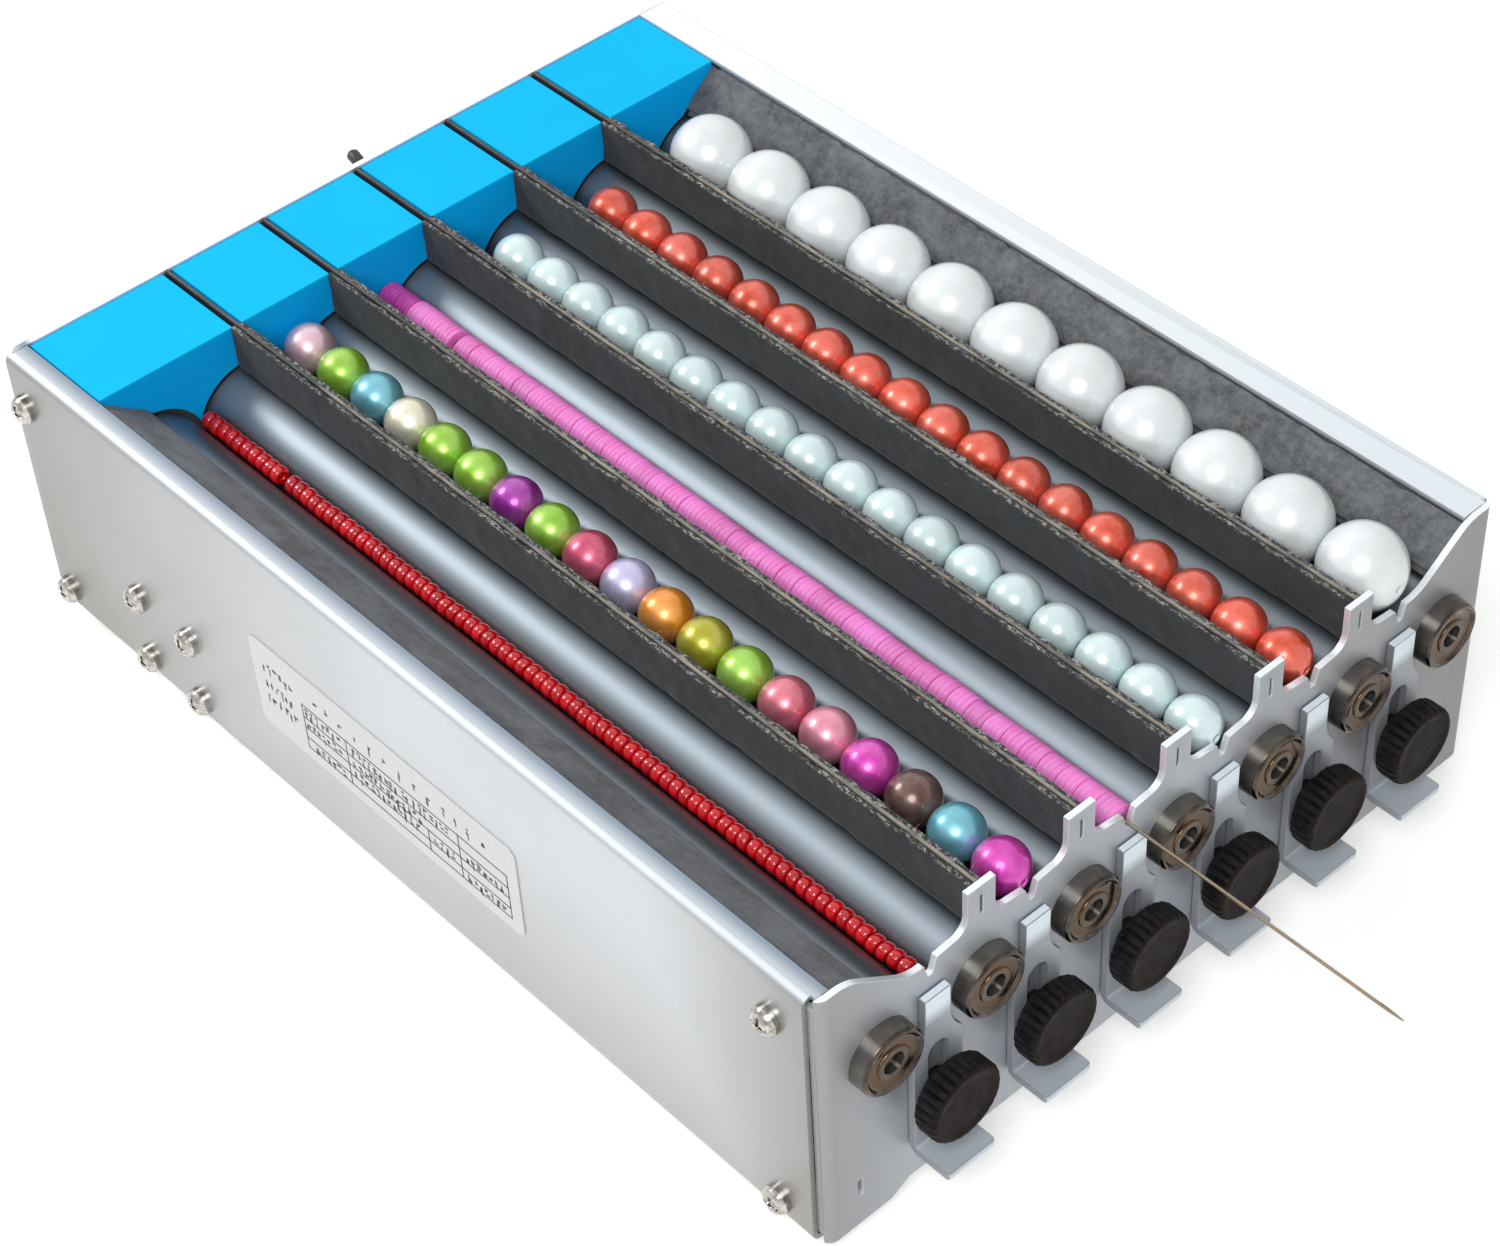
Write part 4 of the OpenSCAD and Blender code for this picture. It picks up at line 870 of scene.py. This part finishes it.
# Pearl lacquer: swirls of mica that swing the bead's own tint a little darker or paler, and its gloss.
swirled, given, made = effect(
    "mica swirls",
    {"Vector": "Vector", "Tint": "Color", "Swing": "Float", "Roughness": "Float"},
    {"Colour": "Color", "Roughness": "Float"},
)
swirl = noise(swirled, given["Vector"], 210, 4.0, 0.6)
deep = tint(swirled, 1.0, given["Tint"], calc(swirled, "SUBTRACT", 1.0, given["Swing"]), "MULTIPLY")
bright = tint(swirled, times(swirled, given["Swing"], 0.5), given["Tint"], (1.0, 1.0, 1.0))
give(swirled, made["Colour"], tint(swirled, span(swirled, swirl, 0.3, 0.72), deep, bright))
wander = span(swirled, swirl, 0.3, 0.7, -0.04, 0.05)
give(swirled, made["Roughness"], calc(swirled, "ADD", given["Roughness"], wander))


def clear_gloss(shader, coat_roughness):
    """A clear gloss over the colour, which itself mirrors little."""
    shader.inputs["Coat Weight"].default_value = 1.0
    shader.inputs["Coat Roughness"].default_value = coat_roughness
    shader.inputs["Specular IOR Level"].default_value = 0.2


def lacquer(name, metallic, roughness, swing):
    """Pearl lacquer: the bead's own tint with its swirls of mica under a clear gloss."""
    material, tree, shader = finish(name, metallic)
    look = placed(tree, swirled, {"Tint": own_tint(tree), "Swing": swing, "Roughness": roughness})
    give(tree, shader.inputs["Base Color"], look["Colour"])
    give(tree, shader.inputs["Roughness"], look["Roughness"])
    clear_gloss(shader, 0.09)
    shader.inputs["Coat IOR"].default_value = 1.42
    return material


lustre = lacquer("pearl lacquer", 0.5, 0.37, 0.26)
pale_lustre = lacquer("pale pearl lacquer", 0.15, 0.3, 0.07)
pearl_colours = {
    "rose": (0.80, 0.17, 0.24), "lime": (0.34, 0.68, 0.02), "sky": (0.16, 0.55, 0.68),
    "cream": (0.95, 0.90, 0.70), "plum": (0.44, 0.01, 0.42), "berry": (0.72, 0.06, 0.16),
    "lavender": (0.64, 0.60, 0.88), "orange": (1.0, 0.34, 0.0), "olive": (0.55, 0.50, 0.0),
    "pink": (0.90, 0.30, 0.42), "magenta": (0.74, 0.0, 0.46), "brown": (0.13, 0.042, 0.024),
    "blush": (0.86, 0.56, 0.66),
}
front_to_rear = (
    "magenta sky brown magenta pink rose lime olive orange lavender berry lime plum lime lime cream sky lime "
    "blush"
)
mixed = [pearl_colours[colour] for colour in front_to_rear.split()]
rng = np.random.default_rng(7)
mint = np.array([0.72, 0.87, 0.87]) * rng.uniform(0.92, 1.06, (18, 1))
coral = np.array([0.88, 0.085, 0.025]) * rng.uniform(0.85, 1.1, (18, 1))
white = np.array([0.84, 0.875, 0.88]) * rng.uniform(0.97, 1.02, (11, 1))
for k, tints, name, coat_of, around, along in (
    (2, mixed, "mixed_pearl", lustre, 40, 26), (4, mint, "mint_pearl", pale_lustre, 40, 26),
    (5, coral, "coral_pearl", lustre, 40, 26), (6, white, "white_pearl", pale_lustre, 64, 40),
):
    fitted(pearl_row(k, tints, around, along), coat_of, f"beads_{k}", f"bead_row_{k}")


def threaded(k, per, outline, around, lean, drift, tints, seed, batch=1, gather=0.0):
    """Short beads packed on one line: each CAD stack of the row is split into equal beads. A bead is the
    outline, as shares of the pitch along the line and mm of radius, turned round it, leaned by up to
    about the given angle and moved off the line; neighbours lean almost alike, so they stay clear of each
    other, and move in batches of a few, which gather towards their middle by a share of the pitch."""
    rng = np.random.default_rng(seed)
    middles = []
    for points in islands(f"bead_row_{k}"):
        near, far = points[:, 1].min(), points[:, 1].max()
        pitch = (far - near) / per
        middles += [near + pitch * (j + 0.5 - gather * (j % batch - (batch - 1) / 2)) for j in range(per)]
    count = len(middles)
    line_x, line_z = line_of(k)[:2]
    leans = rough_field(rng, (count, 2), 1) * math.radians(lean)
    leans = leans + 0.25 * rng.standard_normal((count, 2)) * math.radians(lean)
    moves = np.clip(rough_field(rng, (count, 2), 1), -1.4, 1.4)
    moves = np.repeat(moves, batch, axis=0)[:count] * drift * mm
    size = 1 - np.repeat(np.abs(rng.normal(0, 0.02, count)), batch)[:count] - rng.uniform(0, 0.004, count)
    along, reach = np.array(outline).T
    theta = np.arange(around)[:, None] / around * 2 * math.pi
    x = reach * mm * np.cos(theta) * size[:, None, None]
    z = reach * mm * np.sin(theta) * size[:, None, None]
    tilt = leans[:, :1, None] * x + leans[:, 1:, None] * z
    grid = np.empty((count, around, len(outline), 3))
    grid[..., 0] = line_x + moves[:, :1, None] + x
    grid[..., 1] = np.array(middles)[:, None, None] + along * pitch + tilt
    grid[..., 2] = line_z - np.abs(moves[:, 1:, None]) + z
    return skin(f"threaded_{k}", grid, True, True, tints(rng, count))


def seed_tints(rng, count):
    """Deep red, a little uneven from bead to bead."""
    return np.array([0.60, 0.002, 0.006]) * rng.uniform(0.78, 1.15, (count, 1))


def disc_tints(rng, count):
    """Hot pink, uneven from batch to batch of discs, with eight darker magenta ones at the rear."""
    batch = np.repeat(rng.uniform(0.84, 1.08, count), 4)[:count, None]
    base = np.array([0.97, 0.24, 0.67]) * batch * rng.uniform(0.97, 1.03, (count, 1))
    base[:, 1:] *= rng.uniform(0.95, 1.08, (count, 1))
    base[-8:] = (0.66, 0.055, 0.42)
    return np.minimum(base, 0.98)


seed_outline = [(-0.40, 0.5), (-0.455, 0.8), (-0.46, 1.25), (-0.40, 1.54), (-0.27, 1.72), (-0.1, 1.79),
                (0.1, 1.79), (0.27, 1.72), (0.40, 1.54), (0.46, 1.25), (0.455, 0.8), (0.40, 0.5)]
seeds = threaded(1, 10, seed_outline, 20, 2.5, 0.07, seed_tints, 41)
glass, tree, shader = grained(
    "red seed glass", 0.0, 0.10, None, (0.32, 0.0, 0.003), 700, 2.0, blend=(0.3, 0.7, 0.5),
)
clear_gloss(shader, 0.03)
fitted(seeds, glass, "beads_1", "bead_row_1")

disc_outline = [(-0.44, 1.0), (-0.475, 1.3), (-0.475, 2.98), (-0.455, 3.05), (-0.40, 3.08),
                (0.40, 3.08), (0.455, 3.05), (0.475, 2.98), (0.475, 1.3), (0.44, 1.0)]
discs = threaded(3, 20, disc_outline, 28, 1.3, 0.09, disc_tints, 43, 4, 0.035)
clay = grained(
    "pink polymer clay", 0.0, 0.45, None, (0.98, 0.48, 0.80), 800, 4.0, fine=0.7, blend=(0.45, 0.8, 0.3),
    depth=0.02,
)[0]
fitted(discs, clay, "beads_3", "bead_row_3")


# Needle.
# A long steel beading needle, straw gold, drawn from wire.
# It lies loose in the notch of lane 3 with its point in the discs.

gold = grained(
    "straw gold steel", 1.0, 0.3, (0.22, 0.165, 0.11), (0.42, 0.34, 0.25), 6000, 2.0, stretch=(1, 0.03, 1),
)[0]
eased("needle", 0.0, gold)


# Floor, light and camera.
# A pale studio floor, a large soft lamp above, and two small lamps at the left, seen as spots on the pearls.
# The camera stands where the photograph's did, worked out from its perspective lines.

def seen(tree):
    """1 for the rays that show a thing to the camera, also in gloss and through glass, and 0 for those
    that only light the object."""
    path = tree.nodes.new("ShaderNodeLightPath").outputs
    direct = calc(tree, "MAXIMUM", path["Is Camera Ray"], path["Is Glossy Ray"])
    return calc(tree, "MAXIMUM", direct, path["Is Transmission Ray"])


def in_scene(name, data):
    """A new object in the scene."""
    made = bpy.data.objects.new(name, data)
    bpy.context.scene.collection.objects.link(made)
    return made


paper_floor, tree, shader = finish("pale studio floor", 0.0, 0.9)
give(tree, shader.inputs["Base Color"], (0.93, 0.925, 0.905))
floor_lift = 0.34
lift = tree.nodes.new("ShaderNodeEmission")
give(tree, lift.inputs["Color"], (1.0, 0.992, 0.965))
give(tree, lift.inputs["Strength"], times(tree, seen(tree), floor_lift))
both = tree.nodes.new("ShaderNodeAddShader")
give(tree, both.inputs[0], shader.outputs[0])
give(tree, both.inputs[1], lift.outputs[0])
give(tree, tree.nodes["Material Output"].inputs["Surface"], both.outputs[0])
half = 6.0
floor_mesh = bpy.data.meshes.new("floor")
floor_mesh.from_pydata(
    [(-half, -half, 0), (half, -half, 0), (half, half, 0), (-half, half, 0)], [], [(0, 1, 2, 3)],
)
floor_mesh.materials.append(paper_floor)
floor = in_scene("floor", floor_mesh)

world = bpy.data.worlds.new("studio")
bpy.context.scene.world = world
world.use_nodes = True
tree = world.node_tree
sky = tree.nodes["Background"]
give(tree, sky.inputs["Color"], (0.985, 0.99, 1.0))
sky_light, sky_seen = 0.42, 1.0
give(tree, sky.inputs["Strength"], span(tree, seen(tree), 0, 1, sky_light, sky_seen))


case_middle = Vector((0, 0, 30 * mm))


def lamp(name, watts, size, stands, colour):
    """A round soft lamp that stands at a point and faces the middle of the case."""
    data = bpy.data.lights.new(name, "AREA")
    data.shape = "DISK"
    data.energy, data.size, data.color = watts, size, colour
    made = in_scene(name, data)
    made.location = stands
    made.rotation_mode = "QUATERNION"
    made.rotation_quaternion = (case_middle - Vector(stands)).to_track_quat("-Z", "Y")
    return made


overhead = lamp("rear right softbox", 1.0, 1.2, (0.56, 0.63, 0.92), (0.98, 0.99, 1.0))
front_lamp = lamp("front left softbox", 6.0, 0.52, (-0.56, -0.46, 0.80), (0.98, 0.99, 1.0))
rear_lamp = lamp("rear left softbox", 3.9, 0.38, (-0.34, 0.72, 0.63), (0.97, 0.985, 1.0))

camera = in_scene("camera", bpy.data.cameras.new("camera"))
stands = Vector((-0.288449, -0.326473, 0.452170))
looks = Vector((0.4691661, 0.5289878, -0.7071457)).normalized()
across = Vector((0.7288639, -0.6840794, -0.0281574)).normalized()
turned_to = Matrix((across, across.cross(looks), -looks)).transposed().to_4x4()
camera.matrix_world = Matrix.Translation(stands) @ turned_to
camera.data.sensor_width = 36
camera.data.sensor_fit = "HORIZONTAL"
camera.data.lens = 82.05
camera.data.shift_x, camera.data.shift_y = -0.0536, 0.0382
camera.data.clip_start, camera.data.clip_end = 0.05, 20
bpy.context.scene.camera = camera
bpy.context.scene.view_settings.view_transform = "Standard"
